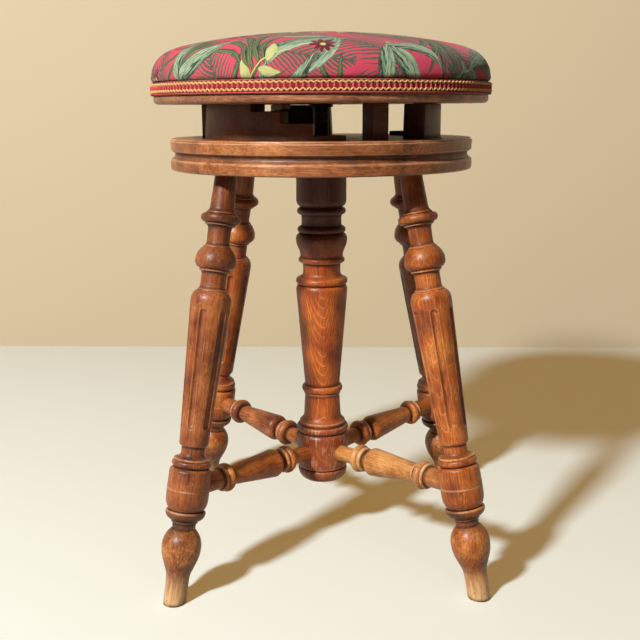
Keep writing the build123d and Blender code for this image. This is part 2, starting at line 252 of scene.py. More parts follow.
# shader maths
class Socket:  # a shader socket that can be used in sums
    def __init__(self, maker, socket):
        self.maker = maker
        self.socket = socket

    def math(self, operation, *others):
        return self.maker.node("Math", {"operation": operation}, [self, *others])

    def __add__(self, other):
        return self.math("ADD", other)

    __radd__ = __add__

    def __mul__(self, other):
        return self.math("MULTIPLY", other)

    __rmul__ = __mul__

    def __sub__(self, other):
        return self.math("SUBTRACT", other)

    def __rsub__(self, other):
        return self.maker.node("Math", {"operation": "SUBTRACT"}, [other, self])

    def __truediv__(self, other):
        return self.math("DIVIDE", other)

    def __pow__(self, other):
        return self.math("POWER", other)

    def __abs__(self):
        return self.math("ABSOLUTE")

    def __neg__(self):
        return self * -1

    def smooth(self, low, high):  # 0 below low, 1 above high
        inputs = {"Value": self, "From Min": low, "From Max": high}
        return self.maker.node("MapRange", {"interpolation_type": "SMOOTHSTEP"}, inputs)

    def clamp(self):
        return self.math("MAXIMUM", 0.0).math("MINIMUM", 1.0)


class Finish:  # a material under construction
    def __init__(self, name, world=None):
        self.material = world or bpy.data.materials.new(name)
        self.material.use_nodes = True
        self.tree = self.material.node_tree
        self.tree.nodes.clear()

    def node(self, kind, settings=None, inputs=(), output=0):
        made = self.tree.nodes.new("ShaderNode" + kind)
        for key, value in (settings or {}).items():
            if key == "stops":
                ramp = made.color_ramp
                while len(ramp.elements) < len(value):
                    ramp.elements.new(0.5)
                for element, (spot, colour) in zip(ramp.elements, value):
                    element.position = spot
                    element.color = (*colour, 1)
            else:
                setattr(made, key, value)
        pairs = inputs.items() if isinstance(inputs, dict) else enumerate(inputs)
        for key, value in pairs:
            if isinstance(value, Socket):
                self.tree.links.new(value.socket, made.inputs[key])
            elif isinstance(value, tuple) and len(value) == 3 and made.inputs[key].type == "RGBA":
                made.inputs[key].default_value = (*value, 1)
            else:
                made.inputs[key].default_value = value
        return Socket(self, made.outputs[output]) if made.outputs else None

    def attribute(self, name, output=1):  # 1 vector, 2 factor
        return self.node("Attribute", {"attribute_name": name}, output=output)

    def scaled(self, vector, size):
        return self.node("VectorMath", {"operation": "MULTIPLY"}, [vector, size])

    def noise(self, vector, scale, detail=3.0, rough=0.55):
        inputs = {"Vector": vector, "Scale": scale, "Detail": detail, "Roughness": rough}
        return self.node("TexNoise", None, inputs)

    def mix(self, factor, first, second, blend="MIX"):
        settings = {"data_type": "RGBA", "blend_type": blend}
        return self.node("Mix", settings, {0: factor, 6: first, 7: second}, output=2)

    def reach(self, vector):  # how far from the Z axis
        flat = self.scaled(vector, (1.0, 1.0, 0.0))
        return self.node("VectorMath", {"operation": "LENGTH"}, [flat], 1)

    def split(self, vector):
        parts = self.tree.nodes.new("ShaderNodeSeparateXYZ")
        self.tree.links.new(vector.socket, parts.inputs[0])
        return [Socket(self, output) for output in parts.outputs]

    def bump(self, height, strength, distance):
        inputs = {"Height": height, "Strength": strength, "Distance": distance}
        return self.node("Bump", None, inputs)

    def close(self, fixed=None, **linked):
        names = {"colour": "Base Color", "roughness": "Roughness", "metallic": "Metallic", "normal": "Normal",
                 "coat": "Coat Weight"}
        inputs = {names[key]: value for key, value in linked.items()}
        inputs.update(fixed or {})
        shader = self.node("BsdfPrincipled", None, inputs)
        self.node("OutputMaterial", None, {"Surface": shader})
        return self.material


def tone(red, green, blue):  # a colour as a screen shows it, 0 to 255, as linear light
    def linear(value):
        value /= 255
        return value / 12.92 if value <= 0.04045 else ((value + 0.055) / 1.055) ** 2.4
    return (linear(red), linear(green), linear(blue))


# finishes
woodFinishes = {
    "legBeech": {"dark": tone(84, 36, 16), "body": tone(156, 80, 38), "pale": tone(206, 122, 64),
                 "grimeAndShadow": tone(22, 9, 5), "worn": tone(206, 156, 120), "gold": tone(222, 156, 90),
                 "line": tone(204, 132, 76), "rub": 0.7, "gloss": 0.34},
    "amberBeech": {"dark": tone(104, 42, 14), "body": tone(186, 92, 32), "pale": tone(226, 136, 58),
                   "grimeAndShadow": tone(24, 10, 5), "worn": tone(230, 178, 126), "gold": tone(230, 164, 90),
                   "line": tone(226, 148, 78), "rub": 0.7, "gloss": 0.34},
    "columnBeech": {"dark": tone(128, 52, 14), "body": tone(196, 92, 30), "pale": tone(226, 128, 50),
                    "grimeAndShadow": tone(28, 12, 7), "worn": tone(222, 172, 126), "gold": tone(224, 160, 100),
                    "line": tone(238, 166, 98), "rub": 0.1, "gloss": 0.34},
    "plateauBeech": {"dark": tone(90, 46, 20), "body": tone(170, 98, 50), "pale": tone(226, 154, 92),
                     "grimeAndShadow": tone(30, 16, 9), "worn": tone(226, 184, 146), "gold": tone(210, 154, 108),
                     "line": tone(188, 126, 80), "rub": 0.35, "gloss": 0.32},
    "rimBeech": {"dark": tone(90, 48, 28), "body": tone(170, 106, 72), "pale": tone(232, 170, 128),
                 "grimeAndShadow": tone(28, 16, 11), "worn": tone(222, 176, 146), "gold": tone(186, 130, 94),
                 "line": tone(158, 106, 78), "rub": 0.15, "gloss": 0.32},
    "honeyBeech": {"dark": tone(140, 74, 30), "body": tone(212, 140, 72), "pale": tone(240, 184, 116),
                   "grimeAndShadow": tone(60, 28, 12), "worn": tone(244, 204, 154), "gold": tone(246, 204, 136),
                   "line": tone(236, 180, 112), "rub": 0.6, "gloss": 0.34},
    "orangeBeech": {"dark": tone(124, 58, 20), "body": tone(202, 108, 40), "pale": tone(232, 154, 74),
                    "grimeAndShadow": tone(36, 16, 8), "worn": tone(234, 186, 136), "gold": tone(232, 170, 98),
                    "line": tone(222, 150, 84), "rub": 0.4, "gloss": 0.34},
    "blockBeech": {"dark": tone(58, 32, 18), "body": tone(90, 50, 28), "pale": tone(122, 74, 44),
                   "grimeAndShadow": tone(24, 14, 9), "worn": tone(134, 94, 66), "gold": tone(118, 76, 48),
                   "line": tone(112, 70, 44), "rub": 0.05, "gloss": 0.5},
}
woodGrain = {"tilt": 0.03, "point": 0.15, "ring": 5400.0, "streak": 620.0, "stretch": 0.035, "fleck": 1500.0,
             "patch": 24.0}


# where each mark starts and ends, in millimetres above the floor
woodHeights = {"hub": (108.0, 146.0), "shade": (296.0, 336.0), "crown": (62.0, 74.0, 84.0, 90.0),
               "waist": (20.0, 30.0, 38.0, 50.0), "belly": (54.0, 20.0), "bare": (4.0, 38.0),
               "dents": (20.0, 60.0), "sole": (0.5, 3.5)}


def beech(name, footWear=False):
    look = woodFinishes[name]
    make = Finish(name)
    grain = make.attribute("grain")
    relief = make.attribute("relief", 2)
    own = make.node("VectorMath", {"operation": "MULTIPLY_ADD"},
                    [make.attribute("seed", 2), (0.37, 0.61, 0.83), grain])
    where = make.node("TexCoord", output=3)
    height = make.split(where)[2] / mm
    x, y, z = make.split(grain)
    slow = make.noise(make.scaled(own, (1.0, 1.0, 0.2)), 30.0, 2.0)
    heart = ((x * 0.9) ** 2.0 + (y - z * woodGrain["tilt"]) ** 2.0).math("SQRT") + slow * 0.0009
    rings = ((heart - abs(x) * woodGrain["point"]) * woodGrain["ring"]).math("SINE")
    streaks = make.noise(make.scaled(own, (1.0, 1.0, woodGrain["stretch"])), woodGrain["streak"], 4.0, 0.7)
    patch = make.noise(own, woodGrain["patch"], 3.0, 0.6)
    figure = streaks * 0.55 + patch * 0.62 - 0.09
    colour = make.node("ValToRGB", {"stops": [(0.36, look["dark"]), (0.50, look["body"]),
                                                        (0.66, look["pale"])]}, [figure])
    colour = make.mix((-1 * rings).smooth(-0.2, 0.9) * 0.2, colour, look["dark"])
    colour = make.mix(rings.smooth(0.86, 0.99) * patch.smooth(0.34, 0.54) * 0.54, colour, look["line"])
    flecks = make.noise(make.scaled(own, (1.0, 1.0, 0.12)), woodGrain["fleck"], 2.0, 0.6)
    colour = make.mix(flecks.smooth(0.54, 0.70) * 0.5, colour, look["dark"])
    rub = make.noise(own, 75.0, 4.0, 0.7)
    speckle = make.noise(make.scaled(own, (1.0, 1.0, 0.4)), 700.0, 4.0, 0.78)
    wear = (rub * 0.8 + patch * 0.5).smooth(0.56, 0.84) * look["rub"]
    if name == "columnBeech":  # the hub is browner, and scuffed by shoes
        kicked = 1 - height.smooth(*woodHeights["hub"])
        colour = make.mix(kicked * 0.5, colour, tone(138, 68, 42))
        scratched = make.noise(make.scaled(own, (1.0, 1.0, 0.16)), 460.0, 2.0, 0.7).smooth(0.52, 0.60)
        colour = make.mix(kicked * scratched * rub.smooth(0.36, 0.60) * 0.75, colour, tone(214, 156, 116))
    if name == "honeyBeech":  # the stain is left at the leg's end
        stained = (make.reach(where) + rub * 0.04 - 0.02).smooth(0.085, 0.15)
        colour = make.mix(stained * 0.45, colour, tone(150, 78, 36))
    colour = make.mix((speckle.smooth(0.50, 0.62) * wear * 1.5).clamp() * 0.7, colour, look["gold"])
    edges = relief.smooth(0.15, 0.85) * (rub * 0.8 + speckle * 0.5).smooth(0.46, 0.72)
    colour = make.mix(edges * 0.75, colour, look["worn"])
    # grime in the quirks, and painted shade along the flute walls
    dirtAndShade = (-1 * relief).smooth(0.05, 0.80) * (0.5 + rub * 0.8)
    colour = make.mix(dirtAndShade.clamp() * 0.85, colour, look["grimeAndShadow"])
    stain = make.noise(own, 36.0, 4.0, 0.7).smooth(0.54, 0.74)
    colour = make.mix(stain * 0.38, colour, look["grimeAndShadow"])
    coat = 0.26
    if name in ("columnBeech", "legBeech", "amberBeech"):  # painted shadow of the plateau: darker, with less coat, towards the top of the column and legs
        plateauShadow = height.smooth(*woodHeights["shade"]) * (0.84 if name == "columnBeech" else 0.3)
        colour = make.mix(plateauShadow, colour, look["grimeAndShadow"])
        coat = coat - plateauShadow * coat
    if footWear:
        brushed = make.noise(make.scaled(own, (1.0, 1.0, 0.14)), 420.0, 3.0, 0.65)
        crown = height.smooth(*woodHeights["crown"][:2]) * (1 - height.smooth(*woodHeights["crown"][2:]))
        colour = make.mix(crown * (0.3 + rub * 0.6), colour, look["grimeAndShadow"])
        waist = height.smooth(*woodHeights["waist"][:2]) * (1 - height.smooth(*woodHeights["waist"][2:]))
        colour = make.mix(waist * (rub * 0.9 + brushed * 0.3 - 0.1), colour, look["dark"])
        middle, half = woodHeights["belly"]
        mottled = (rub * 0.5 + speckle * 0.5).smooth(0.46, 0.60)
        belly = (1 - abs(height - middle) / half).smooth(0.0, 0.5) * mottled
        colour = make.mix(belly * (0.8 if name == "legBeech" else 0.45), colour, tone(222, 162, 88))
        bare = 1 - (height + brushed * 34.0 - 17.0).smooth(*woodHeights["bare"])
        colour = make.mix(bare * 0.95, colour, tone(230, 188, 134))
        colour = make.mix(bare * brushed.smooth(0.48, 0.64) * 0.5, colour, tone(132, 84, 44))
        dents = make.noise(own, 300.0, 3.0, 0.7).smooth(0.60, 0.68)
        dents = dents * (1 - height.smooth(*woodHeights["dents"]))
        colour = make.mix(dents * 0.5, colour, look["dark"])
        colour = make.mix((1 - height.smooth(*woodHeights["sole"])) * 0.6, colour, look["grimeAndShadow"])
    roughness = look["gloss"] + rub * 0.22 + dirtAndShade * 0.25
    dips = flecks * -0.6 + streaks * 0.35 + speckle * 0.4
    normal = make.bump(dips, 0.4, 0.0005)
    fixed = {"Specular IOR Level": 0.36, "Coat Roughness": 0.32}
    return make.close(fixed, colour=colour, roughness=roughness, coat=coat, normal=normal)


def agedIron(name):
    make = Finish(name)
    spot = make.node("TexCoord", output=3)
    cloud = make.noise(spot, 90.0, 4.0, 0.65)
    grit = make.noise(spot, 900.0, 2.0, 0.6)
    colour = make.mix(cloud.smooth(0.5, 0.72), tone(52, 46, 42), tone(92, 60, 40))
    metallic = 1.0 - cloud.smooth(0.5, 0.75) * 0.7
    normal = make.bump(grit, 0.3, 0.0003)
    return make.close(colour=colour, roughness=0.42 + grit * 0.25, metallic=metallic, normal=normal)


print("finishes")
finishes = {name: beech(name, footWear=name in ("legBeech", "amberBeech")) for name in woodFinishes}
finishes["iron"] = agedIron("agedIron")


def dress(piece, finish, body, slot, *nodes):
    piece.data.materials.clear()
    piece.data.materials.append(finishes[finish])
    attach(piece, body)
    if nodes:
        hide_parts(*nodes)


# column and plateau

# a profile's steps are (kind, length or width, radius); step has a radius alone
column = {"tenon": 18.0, "headRadius": 25.5, "taperEnd": 18.2, "bore": 8.5, "boreDepth": 200.0, "bush": 11.1,
          "bushDepth": 45.0,
          "head": (("line", 32.0, 25.6), ("fall", 6.0, 22.0), ("band", 1.0, 21.4), ("bead", 7.2, 25.0),
                   ("rise", 3.0, 20.5), ("line", 7.0), ("fall", 2.0, 22.0), ("bead", 6.6, 24.7),
                   ("band", 0.8, 22.0), ("step", 23.6), ("rise", 5.5, 26.4), ("fall", 9.0, 24.3),
                   ("rise", 10.0, 21.8), ("bead", 5.4, 23.8), ("step", 21.0), ("rise", 3.2, 19.3),
                   ("line", 6.6), ("fall", 5.6, 24.0), ("bead", 7.0, 26.7), ("band", 1.0, 24.4),
                   ("step", 25.0), ("rise", 5.2, 26.6)),
          "foot": (("step", 18.6), ("bead", 7.6, 21.4), ("band", 1.6, 19.4), ("rise", 2.4, 18.3),
                   ("line", 19.4, 19.4), ("fall", 8.6, 24.2), ("line", 4.0), ("step", 25.0),
                   ("bead", 6.8, 27.4), ("band", 1.4, 25.4), ("step", 26.2), ("rise", 4.6, 28.2),
                   ("line", 33.2, 25.9), ("band", 1.6, 24.4), ("step", 24.6), ("rise", 2.4, 26.1),
                   ("fall", 10.4, 19.6))}


def makeColumn():
    foot = Outline(column["taperEnd"])
    foot.follow(column["foot"])
    o = Outline(0.0, -column["boreDepth"])
    o.points += [(column["bore"], -column["boreDepth"]), (column["bore"], -column["bushDepth"])]
    o.points += [(column["bush"], -column["bushDepth"]), (column["bush"], 0.0), (column["tenon"], 0.0)]
    o.line(stool["plateauTop"] - stool["plateauLow"])
    o.step(column["headRadius"])
    o.follow(column["head"])
    o.line(stool["plateauTop"] - stool["hubLow"] - o.depth - foot.depth, column["taperEnd"])
    o.follow(column["foot"])
    o.step(0.0)
    piece = turned("turned_column", o, 96, shifted(z=stool["plateauTop"]), seed=1.3)
    dress(piece, "columnBeech", "stand", "stained_beech", "column")


plateau = {"radius": 150.0, "arris": 1.9, "arrisDepth": 2.0, "bore": 18.1,
           "edge": (("line", 8.8, 149.4), ("line", 0.9, 148.9), ("line", 1.6, 146.2), ("rise", 1.4, 145.4),
                    ("fall", 4.6, 149.0), ("line", 1.7, 150.0), ("line", 6.6), ("fall", 2.6, 147.4))}


def makePlateau():
    radius, bore = plateau["radius"], plateau["bore"]
    o = Outline(bore)
    o.step(radius - plateau["arris"])
    o.fall(plateau["arris"], radius)
    o.points[-1] = (radius, -plateau["arrisDepth"])
    o.follow(plateau["edge"])
    o.step(bore)
    o.points.append((bore, 0.0))
    piece = turned("moulded_plateau", o, 192, shifted(z=stool["plateauTop"]), seed=0.2, edge=0.25)
    lieFlat(piece)
    dress(piece, "plateauBeech", "stand", "stained_beech", "plateau")


def lieFlat(piece):  # boards have their grain across, from side to side
    grain = piece.data.attributes["grain"]
    for item in grain.data:
        x, y, z = item.vector
        item.vector = (y + 0.24, z + 0.13, x)


# legs
leg = {"topReach": 120.5, "footReach": 210.0, "socket": 22.0, "top": 10.2, "shaftEnd": 13.6,
       "flutes": 6, "fluteTool": 4.4, "fluteDepth": 2.0, "fluteTop": 7.4, "fluteFoot": 14.6,
       "turns": {"front_left": 35, "front_right": 14, "rear_right": 28, "rear_left": 13},
       "finish": {"front_left": "legBeech", "front_right": "amberBeech", "rear_right": "legBeech",
                  "rear_left": "amberBeech"},
       "shifts": {"front_left": 5.2, "front_right": 1.6, "rear_right": 0, "rear_left": 0},
       "scribe": 0.45, "overlength": 6.0,
       "head": (("line", 31.6, 11.3), ("fall", 4.4, 13.8), ("band", 1.6, 14.2), ("step", 14.8),
                ("bead", 8.2, 18.6), ("band", 2.0, 14.2), ("rise", 3.4, 10.9), ("line", 13.0, 10.6),
                ("fall", 3.2, 12.6), ("band", 1.4, 13.0), ("step", 13.6), ("rise", 13.2, 19.2),
                ("fall", 6.4, 15.6), ("band", 2.4, 14.4), ("rise", 2.6, 11.9), ("line", 11.2),
                ("fall", 3.4, 13.8), ("band", 1.4, 14.2), ("step", 15.4), ("rise", 9.2, 19.2)),
       "ankle": (("fall", 2.4, 12.4), ("band", 6.5, 11.0), ("fall", 5.0, 15.6), ("band", 1.8, 16.8),
                 ("step", 15.6), ("bead", 6.4, 18.4), ("band", 1.0, 15.8), ("step", 17.2),
                 ("rise", 3.4, 19.6), ("line", 15.9, 20.0)),
       "toe": (("band", 0.9, 19.4), ("step", 20.0), ("line", 9.1, 19.8), ("fall", 9.8, 16.6),
               ("band", 1.0, 15.4), ("step", 17.6), ("rise", 1.8, 18.8), ("fall", 7.0, 13.6),
               ("band", 2.4, 12.6), ("step", 11.2), ("line", 6.8, 10.7), ("step", 11.6),
               ("rise", 16.0, 18.6), ("fall", 12.5, 16.6), ("line", 8.0, 13.6), ("rise", 11.5, 10.8),
               ("line", 21.9, 10.7))}


def legFoot(o):  # gives how far down the scribed line starts
    o.follow(leg["ankle"])
    scribe = o.depth
    o.follow(leg["toe"])
    return scribe


def around(reach, angle, height):  # a point at an angle round the column
    turn = math.radians(angle)
    return Vector((reach * math.cos(turn), reach * math.sin(turn), height))


def legLine(corner):  # the leg's axis, from the plateau's underside to the floor
    angle = stool["corners"][corner]
    ground = around(leg["footReach"], angle + leg["shifts"][corner], 0)
    return around(leg["topReach"], angle, stool["plateauLow"]), ground


def along(start, upward, aside):  # places Z along one direction, with X near another
    up = upward.normalized()
    side = up.cross(aside).normalized()
    turn = Matrix((side.cross(up), side, up)).transposed().to_4x4()
    return Matrix.Translation(start * mm) @ turn


def makeLeg(corner, seed):
    top, ground = legLine(corner)
    legLength = (top - ground).length
    foot = Outline(leg["shaftEnd"])
    legFoot(foot)
    o = Outline(0.0)
    o.step(leg["top"])
    o.line(leg["socket"])
    o.follow(leg["head"])
    shaftTop = o.last[1]
    shaftLength = legLength + leg["socket"] - o.depth - foot.depth
    o.line(shaftLength, leg["shaftEnd"])
    scribe = o.last[1] - legFoot(Outline(0.0)) - leg["scribe"]
    legFoot(o)
    o.line(leg["overlength"])
    o.step(0.0)
    lift = leg["fluteTool"] - leg["fluteDepth"]
    nose = math.sqrt(leg["fluteTool"] ** 2 - lift**2)
    high = shaftTop - leg["fluteTop"]
    low = shaftTop - shaftLength + leg["fluteFoot"]
    perFlute, inFlute = 18, 10

    def rows(points):  # closer rows where the flutes begin and end
        dense = []
        for (r1, z1), (r2, z2) in zip(points, points[1:]):
            dense.append((r1, z1))
            if z1 - z2 > 60:
                stops = [high + 0.3 - 0.55 * i for i in range(11)]
                stops += [low + 5.2 - 0.55 * i for i in range(11)]
                stops += [high - 6.5 + (low - high + 12.0) * i / 10 for i in range(10)]
                for z in sorted(stops, reverse=True):
                    dense.append((r1 + (r2 - r1) * (z1 - z) / (z1 - z2), z))
        return dense + [points[-1]]

    def cutter(k, radius, height):
        number, part = divmod(k, perFlute)
        half = math.asin(min(0.9, nose / max(radius, 13.0)))
        period = 2 * math.pi / leg["flutes"]
        if part <= inFlute:
            angle = -half + 2 * half * part / inFlute
        else:
            angle = half + (period - 2 * half) * (part - inFlute) / (perFlute - inFlute)
        depth = tint = 0.0
        if low - 0.1 <= height <= high + 0.1 and part <= inFlute:
            side = radius * math.sin(angle)
            overTop = max(0.0, height - (high - nose), (low + nose) - height)
            distance = math.hypot(side, overTop)
            if distance < nose:  # painted shade darkens the walls, and the rim gets a pale line that is partly rubbed wear and partly painted highlight
                depth = math.sqrt(leg["fluteTool"] ** 2 - distance**2) - lift
                tint = -0.16 - 0.5 * (distance / nose) ** 2
            if part in (0, inFlute):
                tint = 0.5
        if abs(height - scribe) < 0.5:  # old wax in the scribed line
            tint = 1.3
        return angle + number * period, depth, tint

    place = along(top, top - ground, around(1, stool["corners"][corner], 0))
    place = place @ Matrix.Rotation(math.radians(leg["turns"][corner]), 4, "Z") @ shifted(z=leg["socket"])
    columns = perFlute * leg["flutes"]
    piece = turned(f"turned_leg_{corner}", o, columns, place, seed, cutter=cutter, rows=rows)
    shaper = bmesh.new()  # sawn flat on the floor
    shaper.from_mesh(piece.data)
    everything = shaper.verts[:] + shaper.edges[:] + shaper.faces[:]
    down = {"plane_co": (0, 0, 0), "plane_no": (0, 0, -1), "clear_outer": True}
    cut = bmesh.ops.bisect_plane(shaper, geom=everything, **down)
    rim = [item for item in cut["geom_cut"] if isinstance(item, bmesh.types.BMEdge)]
    bmesh.ops.contextual_create(shaper, geom=rim)
    shaper.to_mesh(piece.data)
    shaper.free()
    dress(piece, leg["finish"][corner], "stand", "stained_beech", f"leg_{corner}")


# stretchers
stretcher = {"hubHeight": 94.0, "socket": 14.0, "barrel": 20.0, "hubCore": 11.9, "neck": 8.3, "belly": 9.3,
             "finish": {"front_left": "orangeBeech", "front_right": "honeyBeech", "rear_right": "orangeBeech",
                        "rear_left": "legBeech"},
             "hubEnd": (("line", 40.6, 8.0), ("step", 10.4), ("bead", 8.0, 14.3), ("step", 10.6),
                        ("bead", 4.6, 12.6), ("band", 5.4, 8.2), ("step", 10.4), ("rise", 6.0, 14.3)),
             "legEnd": (("fall", 1.2, 8.6), ("band", 3.6, 7.8), ("step", 10.2), ("bead", 8.0, 14.1),
                        ("step", 10.4), ("bead", 3.6, 12.6), ("step", 9.5), ("line", 32.5))}


def makeStretcher(corner, seed):
    top, ground = legLine(corner)
    foot = Outline(leg["shaftEnd"])
    barrelMiddle = legFoot(foot) + leg["scribe"]
    hub = Vector((0, 0, stretcher["hubHeight"]))
    way = ground + (top - ground).normalized() * (foot.depth - barrelMiddle) - hub
    length = way.length
    o = Outline(0.0)
    o.step(stretcher["neck"])
    o.follow(stretcher["hubEnd"])
    tail = Outline(stretcher["belly"])
    tail.follow(stretcher["legEnd"])
    end = length - stretcher["barrel"] + stretcher["socket"] - stretcher["hubCore"]
    o.line(end - o.depth - tail.depth, stretcher["belly"])
    o.follow(stretcher["legEnd"])
    o.step(0.0)
    place = along(hub, way, Vector((0, 0, 1))) @ shifted(z=stretcher["hubCore"])
    place = place @ Matrix.Rotation(math.pi, 4, "X")
    piece = turned(f"turned_stretcher_{corner}", o, 64, place, seed)
    finish = stretcher["finish"][corner]
    slot = "honey_beech" if finish == "honeyBeech" else "stained_beech"
    dress(piece, finish, "stand", slot, f"stretcher_{corner}")


# stair blocks, seat feet and stop blocks
blocks = {"inner": 96.0, "outer": 119.0, "count": 3, "treads": (4.5, 15.0, 25.5, 32.0), "stepAngle": 14.3,
          "landing": 33.5, "start": -12.7, "rake": (16.0, 3.0, 3.0), "footMiddle": -28.7, "footAngle": 7.8,
          "stopMiddle": 17.1, "stopAngle": 4.8, "stopHeight": 5.0, "bevel": 0.7, "slice": 2.4}


def ringBlock(name, spans, base, rake=0.0):  # spans are (angle, height) of each tread, in turning order
    heights = sorted({height for angle, height in spans})
    levels = [0.0, *heights]
    stations, tops = [0.0], []
    for angle, height in spans:
        parts = max(1, round(angle / blocks["slice"]))
        for i in range(parts):
            stations.append(stations[-1] + angle / parts)
            tops.append(height)
    shaper = bmesh.new()
    corner = {}

    def at(i, j, side):
        if (i, j, side) not in corner:
            radius = (blocks["inner"], blocks["outer"])[side]
            turn = stations[i]
            if rake and i == len(stations) - 1:
                lean = (levels[-1] - levels[j]) * math.tan(math.radians(rake))
                turn += math.degrees(lean / radius)
            angle = -math.radians(turn - 90.0) - math.pi
            where = (radius * math.cos(angle), radius * math.sin(angle), levels[j] + base)
            corner[i, j, side] = shaper.verts.new(Vector(where) * mm)
        return corner[i, j, side]

    def filled(i, j):
        return 0 <= i < len(tops) and 0 <= j < len(levels) - 1 and levels[j + 1] <= tops[i] + 1e-6

    for i in range(len(tops)):
        for j in range(len(levels) - 1):
            if not filled(i, j):
                continue
            for side in (0, 1):
                square = ((i, j), (i + 1, j), (i + 1, j + 1), (i, j + 1))
                shaper.faces.new([at(*spot, side) for spot in square])
            for k, other in ((j, filled(i, j - 1)), (j + 1, filled(i, j + 1))):
                if not other:
                    shaper.faces.new([at(i, k, 0), at(i + 1, k, 0), at(i + 1, k, 1), at(i, k, 1)])
            for k, other in ((i, filled(i - 1, j)), (i + 1, filled(i + 1, j))):
                if not other:
                    shaper.faces.new([at(k, j, 0), at(k, j + 1, 0), at(k, j + 1, 1), at(k, j, 1)])
    bmesh.ops.recalc_face_normals(shaper, faces=shaper.faces)
    mesh = bpy.data.meshes.new(name)
    shaper.to_mesh(mesh)
    shaper.free()
    rough = bpy.data.objects.new(name + "_rough", mesh)
    bpy.context.scene.collection.objects.link(rough)
    bevel = rough.modifiers.new("wornEdges", "BEVEL")
    bevel.width = blocks["bevel"] * mm
    bevel.segments = 2
    bevel.limit_method = "ANGLE"
    bevel.angle_limit = math.radians(40)
    bpy.context.view_layer.update()
    evaluated = rough.evaluated_get(bpy.context.evaluated_depsgraph_get())
    shape = bpy.data.meshes.new_from_object(evaluated)
    bpy.data.objects.remove(rough)
    piece = bpy.data.objects.new(name, shape)
    bpy.context.scene.collection.objects.link(piece)
    return piece


def turnPiece(piece, angle, seed):  # clockwise seen from above
    piece.data.transform(Matrix.Rotation(math.radians(-angle), 4, "Z"))
    piece.data.shade_smooth()
    piece.data.set_sharp_from_angle(angle=math.radians(30))
    grain = piece.data.attributes.new("grain", "FLOAT_VECTOR", "POINT")
    back = Matrix.Rotation(math.radians(angle), 4, "Z")
    for item, vertex in zip(grain.data, piece.data.vertices):
        x, y, z = back @ vertex.co
        item.vector = (y + 0.08, z - 0.4, x + 0.02)
    tellSeed(piece.data, seed)
    piece.data.attributes.new("relief", "FLOAT", "POINT")


def makeBlocks():
    treads = [(blocks["stepAngle"], height) for height in blocks["treads"][:-1]]
    treads.append((blocks["landing"], blocks["treads"][-1]))
    seatGap = stool["seatLow"] - stool["plateauTop"]
    for i in range(blocks["count"]):
        turn = 360 / blocks["count"] * i
        stair = ringBlock(f"stepped_block_{i + 1}", treads, stool["plateauTop"], blocks["rake"][i])
        turnPiece(stair, blocks["start"] + turn, 0.4 + i)
        dress(stair, "blockBeech", "stand", "block_beech", f"stair_block_{i + 1}")
        foot = ringBlock(f"carved_foot_{i + 1}", [(blocks["footAngle"], seatGap)], stool["plateauTop"])
        turnPiece(foot, blocks["footMiddle"] - blocks["footAngle"] / 2 + turn, 3.4 + i)
        dress(foot, "blockBeech", "seat", "block_beech", f"seat_foot_{i + 1}")
        low = stool["seatLow"] - blocks["stopHeight"]
        stop = ringBlock(f"glued_stop_{i + 1}", [(blocks["stopAngle"], blocks["stopHeight"])], low)
        turnPiece(stop, blocks["stopMiddle"] - blocks["stopAngle"] / 2 + turn, 6.4 + i)
        dress(stop, "blockBeech", "seat", "block_beech", f"stop_block_{i + 1}")


# seat board
board = {"top": 164.2, "recess": 38.1, "recessDepth": 4.0, "bore": 16.0, "boreDepth": 14.0,
         "edge": (("line", 12.2), ("step", 163.4), ("rise", 1.1, 164.5), ("line", 2.0), ("fall", 4.4, 160.6))}


def makeSeatBoard():
    o = Outline(0.0)
    o.step(board["top"])
    o.follow(board["edge"])
    under = o.last[1]
    o.step(board["recess"])
    for radius, deep in ((board["recess"], board["recessDepth"]), (board["bore"], board["recessDepth"]),
                         (board["bore"], board["boreDepth"]), (0.0, board["boreDepth"])):
        o.points.append((radius, under + deep))
    piece = turned("seat_board_turned", o, 192, shifted(z=stool["boardTop"]), seed=0.5, edge=0.3)
    lieFlat(piece)
    dress(piece, "rimBeech", "seat", "stained_beech", "seat_board")


print("wooden pieces")
makeColumn()
makePlateau()
for seed, corner in enumerate(stool["corners"]):
    makeLeg(corner, 2.0 + seed)
    makeStretcher(corner, 7.0 + seed)
makeBlocks()
makeSeatBoard()
for node in ("column_bush", "seat_flange", "spindle", "spindle_washer", "spindle_nut"):
    part = frame["nodes"][node]
    part.data.materials.clear()
    part.data.materials.append(finishes["iron"])


# braid round the seat's edge
braid = {"radius": 166.4, "low": 464.5, "high": 475.8, "repeats": 201, "ribHeight": 5.6, "ribWidth": 2.5,
         "ribDepth": 1.6, "cord": 0.85, "wave": 0.85, "upperCord": 473.8, "lowerCord": 467.7,
         "edgeCord": 465.2}

braidThreads = {"braidRed": (tone(168, 40, 46), tone(112, 16, 24)),
                "braidGold": (tone(248, 212, 146), tone(206, 142, 82)),
                "braidRose": (tone(222, 104, 96), tone(184, 56, 58))}


def braidThread(name, shade, deep):
    make = Finish(name)
    spot = make.node("TexCoord", output=3)
    threads = make.noise(make.scaled(spot, (1.0, 1.0, 2.4)), 1500.0, 2.0, 0.6)
    worn = make.noise(spot, 70.0, 3.0, 0.6)
    colour = make.mix((threads * 0.7 + worn * 0.5 - 0.1).clamp(), deep, shade)
    return make.close(colour=colour, roughness=0.75 + threads * 0.2, normal=make.bump(threads, 0.5, 0.0006))


finishes.update({name: braidThread(name, *shades) for name, shades in braidThreads.items()})


